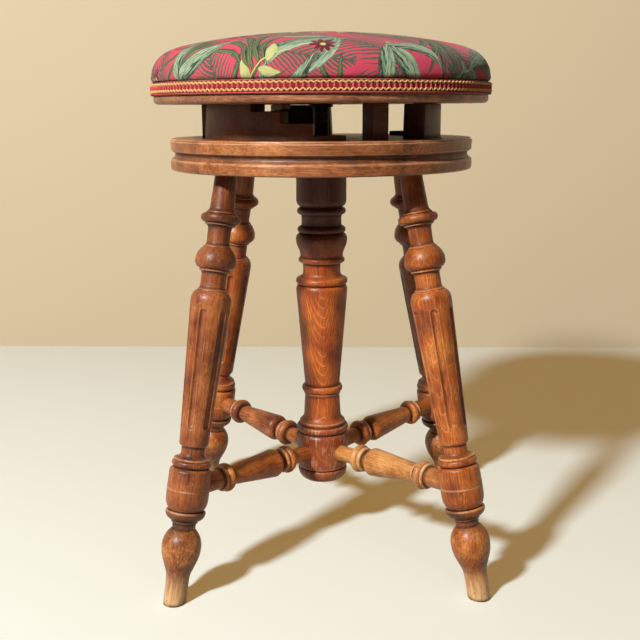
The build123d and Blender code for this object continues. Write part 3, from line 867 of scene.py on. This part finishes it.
class Tree:  # a geometry tree under construction
    def __init__(self, name, values):
        self.tree = bpy.data.node_groups.new(name, "GeometryNodeTree")
        self.tree.interface.new_socket("Geometry", in_out="OUTPUT", socket_type="NodeSocketGeometry")
        self.ids = {}
        for key, value in values.items():
            kind = "NodeSocketInt" if isinstance(value, int) else "NodeSocketFloat"
            socket = self.tree.interface.new_socket(key, in_out="INPUT", socket_type=kind)
            self.ids[key] = socket.identifier
        self.source = self.tree.nodes.new("NodeGroupInput")
        self.values = values

    def given(self, key):
        return self.source.outputs[key]

    def node(self, kind, settings=None, inputs=(), output=0):
        made = self.tree.nodes.new(kind)
        for key, value in (settings or {}).items():
            setattr(made, key, value)
        pairs = inputs.items() if isinstance(inputs, dict) else enumerate(inputs)
        for key, value in pairs:
            if isinstance(value, bpy.types.NodeSocket):
                self.tree.links.new(value, made.inputs[key])
            elif isinstance(value, list):
                for item in value:
                    self.tree.links.new(item, made.inputs[key])
            else:
                made.inputs[key].default_value = value
        return made.outputs[output]

    def maths(self, operation, *values):
        return self.node("ShaderNodeMath", {"operation": operation}, list(values))

    def finish(self, name, parts):  # parts are pairs of shape and material
        ready = []
        for shape, finish in parts:
            real = self.node("GeometryNodeRealizeInstances", None, [shape])
            dressed = {"Geometry": real, "Material": finishes[finish]}
            ready.append(self.node("GeometryNodeSetMaterial", None, dressed))
        joined = self.node("GeometryNodeJoinGeometry", None, {0: ready})
        end = self.tree.nodes.new("NodeGroupOutput")
        self.tree.links.new(joined, end.inputs[0])
        holder = bpy.data.objects.new(name + "_maker", bpy.data.meshes.new(name + "_maker"))
        bpy.context.scene.collection.objects.link(holder)
        modifier = holder.modifiers.new("maker", "NODES")
        modifier.node_group = self.tree
        for key, value in self.values.items():
            modifier[self.ids[key]] = value
        bpy.context.view_layer.update()
        evaluated = holder.evaluated_get(bpy.context.evaluated_depsgraph_get())
        mesh = bpy.data.meshes.new_from_object(evaluated)
        mesh.name = name
        holder.modifiers.remove(modifier)
        bpy.data.objects.remove(holder)
        piece = bpy.data.objects.new(name, mesh)
        bpy.context.scene.collection.objects.link(piece)
        return piece


def makeBraid():
    tree = Tree("Braid", {key: value if key == "repeats" else value * mm for key, value in braid.items()})
    middle = tree.maths("MULTIPLY", tree.maths("ADD", tree.given("upperCord"), tree.given("lowerCord")), 0.5)

    def ring(resolution, radius, height):
        circle = tree.node("GeometryNodeCurvePrimitiveCircle", {"mode": "RADIUS"},
                           {"Resolution": resolution, "Radius": radius})
        lift = tree.node("ShaderNodeCombineXYZ", None, {2: height})
        return tree.node("GeometryNodeTransform", None, {"Geometry": circle, "Translation": lift})

    points = ring(tree.given("repeats"), tree.maths("ADD", tree.given("radius"), 0.0002), middle)
    tangent = tree.node("GeometryNodeInputTangent")
    turn = tree.node("FunctionNodeAlignRotationToVector", {"axis": "X"}, {"Vector": tangent})
    rib = tree.node("GeometryNodeMeshUVSphere", None, {"Segments": 8, "Rings": 5, "Radius": 0.5})
    size = tree.node("ShaderNodeCombineXYZ", None, {0: tree.given("ribWidth"), 1: tree.given("ribDepth"),
                                                    2: tree.given("ribHeight")})
    rib = tree.node("GeometryNodeTransform", None, {"Geometry": rib, "Scale": size})
    placed = {"Points": points, "Instance": rib, "Rotation": turn}
    ribs = tree.node("GeometryNodeInstanceOnPoints", None, placed)
    parts = [(ribs, "braidRose")]
    for height, wave, phase, cord, finish in (("upperCord", 0.8, 0.0, 1.0, "braidGold"),
                                              ("lowerCord", 1.0, 1.6, 1.0, "braidGold"),
                                              ("edgeCord", 0.0, 0.0, 0.6, "braidRose")):
        many = tree.maths("MULTIPLY", tree.given("repeats"), 6.0)
        curve = ring(many, tree.maths("ADD", tree.given("radius"), 0.0003), tree.given(height))
        share = tree.node("GeometryNodeSplineParameter")
        angle = tree.maths("MULTIPLY", tree.maths("MULTIPLY", share, tree.given("repeats")), 2 * math.pi)
        swing = tree.maths("SINE", tree.maths("ADD", angle, phase))
        reach = tree.maths("MULTIPLY", tree.maths("MULTIPLY", swing, tree.given("wave")), wave)
        offset = tree.node("ShaderNodeCombineXYZ", None, {2: reach})
        curve = tree.node("GeometryNodeSetPosition", None, {"Geometry": curve, "Offset": offset})
        thick = tree.maths("MULTIPLY", tree.given("cord"), cord)
        section = tree.node("GeometryNodeCurvePrimitiveCircle", {"mode": "RADIUS"},
                            {"Resolution": 6, "Radius": thick})
        solid = tree.node("GeometryNodeCurveToMesh", None, {"Curve": curve, "Profile Curve": section})
        parts.append((solid, finish))
    height = tree.maths("SUBTRACT", tree.given("high"), tree.given("low"))
    centre = tree.maths("MULTIPLY", tree.maths("ADD", tree.given("high"), tree.given("low")), 0.5)
    band = ring(240, tree.maths("SUBTRACT", tree.given("radius"), 0.0008), centre)
    section = tree.node("GeometryNodeCurvePrimitiveQuadrilateral", {"mode": "RECTANGLE"},
                        {"Width": 0.0016, "Height": height})
    backing = tree.node("GeometryNodeCurveToMesh", None, {"Curve": band, "Profile Curve": section})
    parts.append((backing, "braidRed"))
    piece = tree.finish("woven_braid", parts)
    piece.data.shade_smooth()
    piece.data.set_sharp_from_angle(angle=math.radians(50))
    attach(piece, "seat")
    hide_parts("gimp_braid")


# slotted screws
screws = {"blockReach": 107.5, "blockTurns": (7.3, 49.3), "blockHead": 3.6, "flangeReach": 27.0,
          "flangeTurns": (45.0,), "flangeHead": 3.2, "slot": 0.8}


def makeScrews(name, body, count, reach, turns, height, head):  # heads that face down, set in by half
    values = {"Count": count, "Reach": reach * mm, "Height": height * mm, "Head": head * mm,
              "Slot": screws["slot"] * mm, "Seed": 4}
    tree = Tree(name, values)
    disc = tree.node("GeometryNodeMeshCylinder", None,
                     {"Vertices": 20, "Radius": tree.given("Head"), "Depth": 0.0012})
    size = tree.node("ShaderNodeCombineXYZ", None, {0: 0.02, 1: tree.given("Slot"), 2: tree.given("Slot")})
    bar = tree.node("GeometryNodeMeshCube", None, {"Size": size})
    bar = tree.node("GeometryNodeTransform", None, {"Geometry": bar, "Translation": (0, 0, -0.0006)})
    cut = tree.node("GeometryNodeMeshBoolean", {"operation": "DIFFERENCE"}, {"Mesh 1": disc, "Mesh 2": [bar]})
    spin = tree.node("FunctionNodeRandomValue", {"data_type": "FLOAT"},
                     {"Min": 0.0, "Max": math.pi, "Seed": tree.given("Seed")}, output=1)
    spin = tree.node("ShaderNodeCombineXYZ", None, {2: spin})
    parts = []
    for turn in turns:
        circle = tree.node("GeometryNodeMeshCircle", None,
                           {"Vertices": tree.given("Count"), "Radius": tree.given("Reach")})
        lift = tree.node("ShaderNodeCombineXYZ", None, {2: tree.given("Height")})
        placed = {"Geometry": circle, "Translation": lift, "Rotation": (0, 0, math.radians(-90 - turn))}
        circle = tree.node("GeometryNodeTransform", None, placed)
        heads = tree.node("GeometryNodeInstanceOnPoints", None,
                          {"Points": circle, "Instance": cut, "Rotation": spin})
        parts.append((heads, "iron"))
    piece = tree.finish(name, parts)
    piece.data.shade_smooth()
    piece.data.set_sharp_from_angle(angle=math.radians(30))
    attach(piece, body)


# cushion
# each turn of the hem is how far in and how high
cushion = {"radius": 167.0, "low": 476.2, "crown": 685.0, "shoulder": 26.0, "crownRows": 24,
           "shoulderRows": 14, "hem": ((0.5, 2.6), (1.3, 1.0), (2.6, 0.3), (6.0, 0.2), (167.0, 0.2)),
           "swell": 1.0, "voxel": 5.0, "cap": 1.0,
           "pressure": 15.0, "frames": 20, "columns": 128, "fill": 0.9,
           "pleats": 118, "pleatDepth": 0.55, "pleatHeight": 15.0}


def domeOutline(sunk):
    radius, peak = cushion["radius"], stool["seatPeak"]
    crown, shoulder = cushion["crown"], cushion["shoulder"]
    across = radius - shoulder
    meet = math.asin(across / (crown - shoulder))
    centreHeight = peak - crown + (crown - shoulder) * math.cos(meet)
    points = []

    def add(angle, r, z):
        inward = sunk * min(1.0, max(0.0, (z - cushion["low"] - 4) / 20))
        points.append((max(0.0, r - inward * math.sin(angle)), z - inward * math.cos(angle)))

    for i in range(cushion["crownRows"] + 1):
        angle = meet * i / cushion["crownRows"]
        add(angle, crown * math.sin(angle), peak - crown * (1 - math.cos(angle)))
    for i in range(1, cushion["shoulderRows"] + 1):
        angle = meet + (math.pi / 2 + 0.1 - meet) * i / cushion["shoulderRows"]
        add(angle, across + shoulder * math.sin(angle), centreHeight + shoulder * math.cos(angle))
    return points + [(radius - inset, cushion["low"] + height) for inset, height in cushion["hem"]]


def lathed(name, points, columns):
    vertices = []
    for radius, height in points:
        for k in range(columns):
            angle = 2 * math.pi * k / columns
            vertices.append((radius * math.cos(angle), radius * math.sin(angle), height))
    faces = ringFaces(len(points), columns)
    return finishMesh(name, vertices, faces, [0.0] * len(vertices), Matrix(), 0.0, 180)


def baked(holder, name):  # the modified mesh as a plain mesh
    bpy.context.view_layer.update()
    evaluated = holder.evaluated_get(bpy.context.evaluated_depsgraph_get())
    mesh = bpy.data.meshes.new_from_object(evaluated)
    mesh.name = name
    return mesh


def swollen(holder):  # stuffing that presses out against the tacked cover
    bpy.context.view_layer.objects.active = holder
    holder.data.remesh_voxel_size = cushion["voxel"] * mm
    bpy.ops.object.voxel_remesh()
    held = holder.vertex_groups.new(name="tacked")
    held.add([v.index for v in holder.data.vertices if v.co.z < (cushion["low"] + 3.5) * mm], 1.0, "REPLACE")
    before = [v.co.copy() for v in holder.data.vertices]
    cloth = holder.modifiers.new("stuffing", "CLOTH")
    cloth.settings.quality = 6
    cloth.settings.use_pressure = True
    cloth.settings.uniform_pressure_force = cushion["pressure"]
    cloth.settings.vertex_group_mass = "tacked"
    cloth.settings.effector_weights.gravity = 0.0
    cloth.point_cache.frame_start = 1
    cloth.point_cache.frame_end = cushion["frames"]
    for frameNumber in range(1, cushion["frames"] + 1):
        bpy.context.scene.frame_set(frameNumber)
    mesh = baked(holder, "swollen")
    holder.modifiers.remove(cloth)
    holder.data = mesh
    for vertex, start in zip(mesh.vertices, before):
        moved = vertex.co - start
        if moved.length > cushion["cap"] * mm:
            vertex.co = start + moved.normalized() * cushion["cap"] * mm
    bpy.context.scene.frame_set(1)


def makeCushion():
    holder = lathed("cushion_start", domeOutline(cushion["swell"]), cushion["columns"])
    swollen(holder)
    fine = holder.modifiers.new("fine", "SUBSURF")
    fine.levels = fine.render_levels = 1
    mesh = baked(holder, "covered_cushion")
    bpy.data.objects.remove(holder)
    outline = domeOutline(0.0)[:cushion["crownRows"] + cushion["shoulderRows"] + 2]
    lengths = [0.0]
    for (r1, z1), (r2, z2) in zip(outline, outline[1:]):
        lengths.append(lengths[-1] + math.hypot(r2 - r1, z2 - z1))
    for vertex in mesh.vertices:  # small gathers above the braid
        x, y, z = vertex.co
        angle = math.atan2(y, x)
        low = 1 - min(1.0, max(0.0, (z / mm - cushion["low"]) / cushion["pleatHeight"]))
        if z / mm > cushion["low"] + 0.6 and low > 0:
            irregular = noise.noise(Vector((x, y, 0)) * 38)
            wave = math.sin(cushion["pleats"] * angle + 7 * irregular) * (0.45 + 0.9 * abs(irregular))
            vertex.co *= 1 + wave * low**1.5 * cushion["pleatDepth"] / 330
            vertex.co.z = z
    cloth = mesh.attributes.new("cloth", "FLOAT_VECTOR", "POINT")
    for item, vertex in zip(cloth.data, mesh.vertices):
        x, y, z = vertex.co / mm
        radius = math.hypot(x, y)
        gaps = [math.hypot(r - radius, h - z) for r, h in outline]
        nearest = gaps.index(min(gaps))
        (r1, z1), (r2, z2) = outline[max(0, nearest - 1)], outline[min(len(outline) - 1, nearest + 1)]
        start = lengths[max(0, nearest - 1)]
        span = math.hypot(r2 - r1, z2 - z1)
        reach = start + ((radius - r1) * (r2 - r1) + (z - z1) * (z2 - z1)) / span
        item.vector = (reach * mm * x / max(radius, 0.01), reach * mm * y / max(radius, 0.01), 0)
    mesh.shade_smooth()
    piece = bpy.data.objects.new("covered_cushion", mesh)
    bpy.context.scene.collection.objects.link(piece)
    dress(piece, "print", "seat", "seat_fabric", "seat_cushion")


# printed cotton: sprays of leaves, ferns, sprigs and small daisies on a raspberry ground
cottonPrint = {"ground": tone(228, 84, 110), "deepGround": tone(200, 58, 86), "dark": tone(42, 50, 44),
               "moss": tone(84, 102, 82), "sage": tone(126, 158, 126), "mist": tone(194, 208, 178),
               "fern": tone(70, 84, 70), "fernLight": tone(134, 150, 124), "olive": tone(126, 140, 72),
               "pale": tone(206, 214, 150), "paleShade": tone(150, 168, 102), "stem": tone(226, 206, 116),
               "petal": tone(96, 26, 44), "petalLight": tone(206, 120, 130)}
printMotifs = {"fern": {"spacing": 66.0, "shift": (0.31, 0.12, 0.0), "keep": 0.10,
                        "size": (100.0, 27.0, 6.4)},
               "sprig": {"spacing": 82.0, "shift": (0.13, 0.93, 0.0), "keep": 0.40, "leaf": (24.0, 5.0, 1.5),
                         "leaves": ((-16.0, 8.0, 0.9), (2.0, -9.5, -0.8), (15.0, 6.5, 0.7))},
               "daisy": {"spacing": 84.0, "shift": (0.52, 0.27, 0.0), "keep": 0.30}}
printSprays = [  # spacing and shift of the sprays, then angle, start, length, width and bend of each leaf
    {"spacing": 72.0, "shift": (0.57, 0.21, 0.0), "keep": 0.05, "shades": ("dark", "moss", "olive"),
     "base": -38.0,
     "leaves": ((0.0, 0.0, 88.0, 4.2, 8.0), (0.30, 2.0, 78.0, 3.8, 12.0), (-0.28, 2.0, 80.0, 4.0, -6.0),
                (0.62, 6.0, 62.0, 3.4, 10.0), (-0.58, 6.0, 64.0, 3.6, -10.0))},
    {"spacing": 78.0, "shift": (0.11, 0.63, 0.0), "keep": 0.03, "shades": ("dark", "sage", "mist"),
     "base": -36.0,
     "leaves": ((0.04, 0.0, 86.0, 10.0, 9.0), (0.66, 6.0, 58.0, 8.2, -7.0), (-0.62, 4.0, 60.0, 8.6, 8.0))},
]


def scattered(make, cloth, motif, feature):  # place in the nearest motif, in millimetres and turned with it
    moved = make.node("VectorMath", {"operation": "ADD"}, [cloth, motif["shift"]])
    settings = {"voronoi_dimensions": "2D", "feature": feature}
    inputs = {"Vector": moved, "Scale": 1 / (motif["spacing"] * mm), "Randomness": 0.62}
    chance = make.split(make.node("TexVoronoi", settings, inputs, output=1))
    centre = make.node("TexVoronoi", settings, inputs, output=2)
    x, y, z = make.split(make.node("VectorMath", {"operation": "SUBTRACT"}, [moved, centre]))
    turn = chance[0] * (2 * math.pi)
    cosine, sine = turn.math("COSINE"), turn.math("SINE")
    kept = chance[1].smooth(motif["keep"], motif["keep"] + 0.02)
    return (x * cosine + y * sine) / mm, (y * cosine - x * sine) / mm, kept, chance[2]


def lanceLeaf(make, x, y, length, width, bend):
    t = (x / length + 0.5).clamp()
    y = y + (t * math.pi).math("SINE") * bend - bend * 0.6
    half = ((t**0.8) * math.pi).math("SINE") * width
    inside = (half - abs(y)).smooth(0.0, 0.5)
    rim = 1 - (half - abs(y)).smooth(0.3, 1.3)
    midrib = 1 - abs(y).smooth(0.2, 0.7)
    return inside, rim, midrib, y


def strokes(make, x, y, chance):  # brush marks that run along a leaf
    inputs = [x * 0.09 + abs(y) * 0.16, y * 1.1, chance * 40.0]
    spot = make.node("CombineXYZ", None, inputs)
    return make.noise(spot, 1.0, 3.0, 0.75)


def fernFrond(make, x, y, length, reach, period):
    t = (x / length + 0.5).clamp()
    y = y + (t * math.pi).math("SINE") * 9.0
    envelope = (t * math.pi).math("SINE") ** 0.6 * reach
    slant = (x - abs(y) * 1.5 + y * 0.25) / period
    away = abs(slant.math("FRACT") - 0.5) * period
    blade = (1 - (abs(y) / envelope.math("MAXIMUM", 0.01)).clamp()) ** 0.55 * (period * 0.42)
    leaflets = (blade - away).smooth(0.0, 0.5)
    spine = (1 - abs(y).smooth(0.5, 1.0)) * (t * 40).clamp() * ((1 - t) * 40).clamp()
    return leaflets.math("MAXIMUM", spine), away / (period * 0.4)


def daisy(make, x, y, size):
    radius = (x**2.0 + y**2.0).math("SQRT")
    petals = abs((y.math("ARCTAN2", x) * 4.5).math("COSINE")) * 0.5 + 0.5
    inside = (petals * size - radius).smooth(0.0, 0.6)
    edge = 1 - (petals * size - radius).smooth(0.4, 1.8)
    return inside, edge, radius


def printedCotton(name):
    make = Finish(name)
    look = cottonPrint
    cloth = make.attribute("cloth")
    brush = make.noise(cloth, 260.0, 4.0, 0.7)
    wash = make.noise(cloth, 30.0, 3.0, 0.6)
    drift = make.node("TexNoise", None, {"Vector": cloth, "Scale": 45.0, "Detail": 2.0}, output=1)
    wobble = make.node("VectorMath", {"operation": "MULTIPLY_ADD"}, [drift, (0.007, 0.007, 0.0), cloth])
    colour = make.mix((wash * 0.9).clamp(), look["ground"], look["deepGround"])
    for feature in ("F2", "F1"):
        x, y, keep, other = scattered(make, wobble, printMotifs["fern"], feature)
        leaflets, side = fernFrond(make, x, y, *printMotifs["fern"]["size"])
        tint = make.mix((side * 0.7 + brush * 1.3 - 0.5).clamp(), look["fernLight"], look["dark"])
        tint = make.mix(other.smooth(0.45, 0.5) * 0.7, tint, look["fern"])
        colour = make.mix(leaflets * keep, colour, tint)
    for spray in printSprays:
        deep, main, light = (look[shade] for shade in spray["shades"])
        for feature in ("F2", "F1"):
            x, y, keep, other = scattered(make, wobble, spray, feature)
            for angle, start, length, width, bend in spray["leaves"]:
                cosine, sine = math.cos(angle), math.sin(angle)
                x2 = (x - spray["base"]) * cosine + y * sine - (start + length / 2)
                y2 = y * cosine - (x - spray["base"]) * sine
                inside, rim, midrib, across = lanceLeaf(make, x2, y2, length, width, bend)
                mark = strokes(make, x2, across, other)
                tint = make.node("ValToRGB", {"stops": [(0.40, deep), (0.50, main), (0.70, light)]},
                                 [mark + across.smooth(-width, width) * 0.16 - 0.08])
                tint = make.mix(midrib * 0.5, tint, light)
                tint = make.mix(rim * brush.smooth(0.36, 0.5) * 0.75, tint, look["dark"])
                colour = make.mix(inside * keep, colour, tint)
    for feature in ("F2", "F1"):
        x, y, keep, other = scattered(make, wobble, printMotifs["sprig"], feature)
        bow = y + (x / 26.0) ** 2.0 * 6.0 - 3.0
        stalk = (1 - abs(bow).smooth(0.35, 0.8)) * (1 - abs(x).smooth(27.0, 28.0)) * keep
        colour = make.mix(stalk, colour, look["stem"])
        for ahead, aside, turn in printMotifs["sprig"]["leaves"]:
            x2 = (x - ahead) * math.cos(turn) + (y - aside) * math.sin(turn)
            y2 = (y - aside) * math.cos(turn) - (x - ahead) * math.sin(turn)
            inside, rim, midrib, across = lanceLeaf(make, x2, y2, *printMotifs["sprig"]["leaf"])
            mark = (strokes(make, x2, across, other) * 2.4 - 0.8).clamp()
            tint = make.mix(mark, look["pale"], look["paleShade"])
            tint = make.mix(midrib * 0.5, tint, look["stem"])
            colour = make.mix(inside * keep, colour, tint)
    x, y, keep, other = scattered(make, wobble, printMotifs["daisy"], "F1")
    inside, edge, radius = daisy(make, x, y, other * 4.0 + 10.0)
    tint = make.mix((edge * 0.6 + (brush - 0.5) * 0.9).clamp(), look["petal"], look["petalLight"])
    tint = make.mix(1 - radius.smooth(1.6, 3.0), tint, look["stem"])
    colour = make.mix(inside * keep, colour, tint)
    u, v = make.split(cloth)[:2]
    weave = (u * 5200.0).math("SINE") * (v * 5200.0).math("SINE")
    slub = make.noise(make.scaled(cloth, (1.0, 0.06, 1.0)), 900.0, 2.0, 0.6)
    colour = make.mix((slub - 0.4).clamp() * 0.5, colour, look["deepGround"], "SOFT_LIGHT")
    normal = make.bump(weave * 0.5 + slub, 0.35, 0.0003)
    return make.close({"Sheen Weight": 0.15, "Specular IOR Level": 0.25}, colour=colour,
                      roughness=0.78 + wash * 0.1, normal=normal)


finishes["print"] = printedCotton("printedCotton")

print("braid and cushion")
makeBraid()
makeCushion()
makeScrews("block_screws", "stand", blocks["count"], screws["blockReach"], screws["blockTurns"],
           stool["plateauLow"], screws["blockHead"])
makeScrews("flange_screws", "seat", 4, screws["flangeReach"], screws["flangeTurns"],
           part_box("seat_flange")[0][2] / mm, screws["flangeHead"])


# room, lamps and camera
room = {"floor": (0.73, 0.87, 0.90), "floorGlow": (0.235, 0.112, 0.0), "wall": (0.60, 0.53, 0.39),
        "wallGlow": (0.20, 0.135, 0.065), "thrown": tone(122, 108, 90), "pale": tone(232, 224, 204),
        "fill": (1.0, 0.95, 0.87), "fillStrength": 0.09, "side": 12.0, "wallPlace": 0.82,
        "floorPlace": -0.0004}
lamps = (  # name, place, target, size, power and colour
    ("window", (-1.60, -2.15, 2.25), (0, 0, 0.25), 0.34, 136, (1.0, 0.972, 0.925)),
    ("sky", (0.4, -2.0, 2.9), (0, 0.2, 0.2), 2.2, 5, (1.0, 0.96, 0.90)))


def backdrop(name, place, turn):  # a pale sheet that lifts its own shadows only where the camera sees it
    colour = room[name]
    mesh = bpy.data.meshes.new(name)
    half = room["side"] / 2
    corners = [(-half, -half, 0), (half, -half, 0), (half, half, 0), (-half, half, 0)]
    mesh.from_pydata([tuple(place @ turn @ Vector(corner)) for corner in corners], [], [(0, 1, 2, 3)])
    sheet = bpy.data.objects.new(name, mesh)
    bpy.context.scene.collection.objects.link(sheet)
    make = Finish(name)
    spot = make.node("TexCoord", output=3)
    cloud = make.noise(spot, 1.5, 3.0, 0.5)
    colour = make.mix(cloud * 0.5, colour, tuple(value * 0.94 for value in colour))
    camera, glossy, through = (make.node("LightPath", output=way) for way in
                               ("Is Camera Ray", "Is Glossy Ray", "Is Transmission Ray"))
    seen = (camera + glossy + through).clamp()
    far = make.reach(spot).smooth(1.1, 2.6)  # evenly pale in the distance
    solid = make.node("BsdfDiffuse", None,
                      {"Color": make.mix(seen, room["thrown"], make.mix(far, colour, (0.0, 0.0, 0.0)))})
    glow = make.node("Emission", None, {"Color": make.mix(far, room[name + "Glow"], room["pale"]),
                                                  "Strength": seen})
    solid = make.node("AddShader", None, [solid, glow])
    clear = make.node("BsdfTransparent")
    back = make.node("NewGeometry", output=6)
    shader = make.node("MixShader", None, {0: back, 1: solid, 2: clear})
    make.node("OutputMaterial", None, {"Surface": shader})
    mesh.materials.append(make.material)


backdrop("floor", Matrix.Translation((0, 0, room["floorPlace"])), Matrix())
backdrop("wall", Matrix.Translation((0, room["wallPlace"], 0)), Matrix.Rotation(math.pi / 2, 4, "X"))


def lamp(name, place, target, size, power, colour):
    light = bpy.data.lights.new(name, "AREA")
    light.shape = "DISK"
    light.size = size
    light.energy = power
    light.color = colour
    holder = bpy.data.objects.new(name, light)
    holder.location = place
    holder.rotation_euler = (Vector(target) - Vector(place)).to_track_quat("-Z", "Y").to_euler()
    bpy.context.scene.collection.objects.link(holder)


def studio():  # pale where the camera sees it, and a weak fill for everything else
    make = Finish("studio", bpy.data.worlds.new("studio"))
    seen = make.node("LightPath", output="Is Camera Ray")
    colour = make.mix(seen, room["fill"], room["pale"])
    strength = seen * (1 - room["fillStrength"]) + room["fillStrength"]
    light = make.node("Background", None, [colour, strength])
    make.node("OutputWorld", None, {"Surface": light})
    bpy.context.scene.world = make.material


for values in lamps:
    lamp(*values)
studio()

eye = {"away": 0.969, "height": 0.4515, "round": 1.9, "focal": 947.6, "pitch": 12.55, "yaw": 0.12,
       "roll": -0.30, "sensor": 36.0, "pixels": 640}
lens = bpy.data.cameras.new("camera")
lens.sensor_width = eye["sensor"]
lens.lens = eye["sensor"] * eye["focal"] / eye["pixels"]
camera = bpy.data.objects.new("camera", lens)


def turnedBy(angle, axis):
    return Matrix.Rotation(math.radians(angle), 4, axis)


stand = turnedBy(eye["round"], "Z") @ Matrix.Translation((0, -eye["away"], eye["height"]))
look = turnedBy(eye["yaw"], "Z") @ turnedBy(90 - eye["pitch"], "X")
camera.matrix_world = stand @ look @ turnedBy(eye["roll"], "Z")
bpy.context.scene.collection.objects.link(camera)
bpy.context.scene.camera = camera
bpy.context.scene.view_settings.view_transform = "Standard"
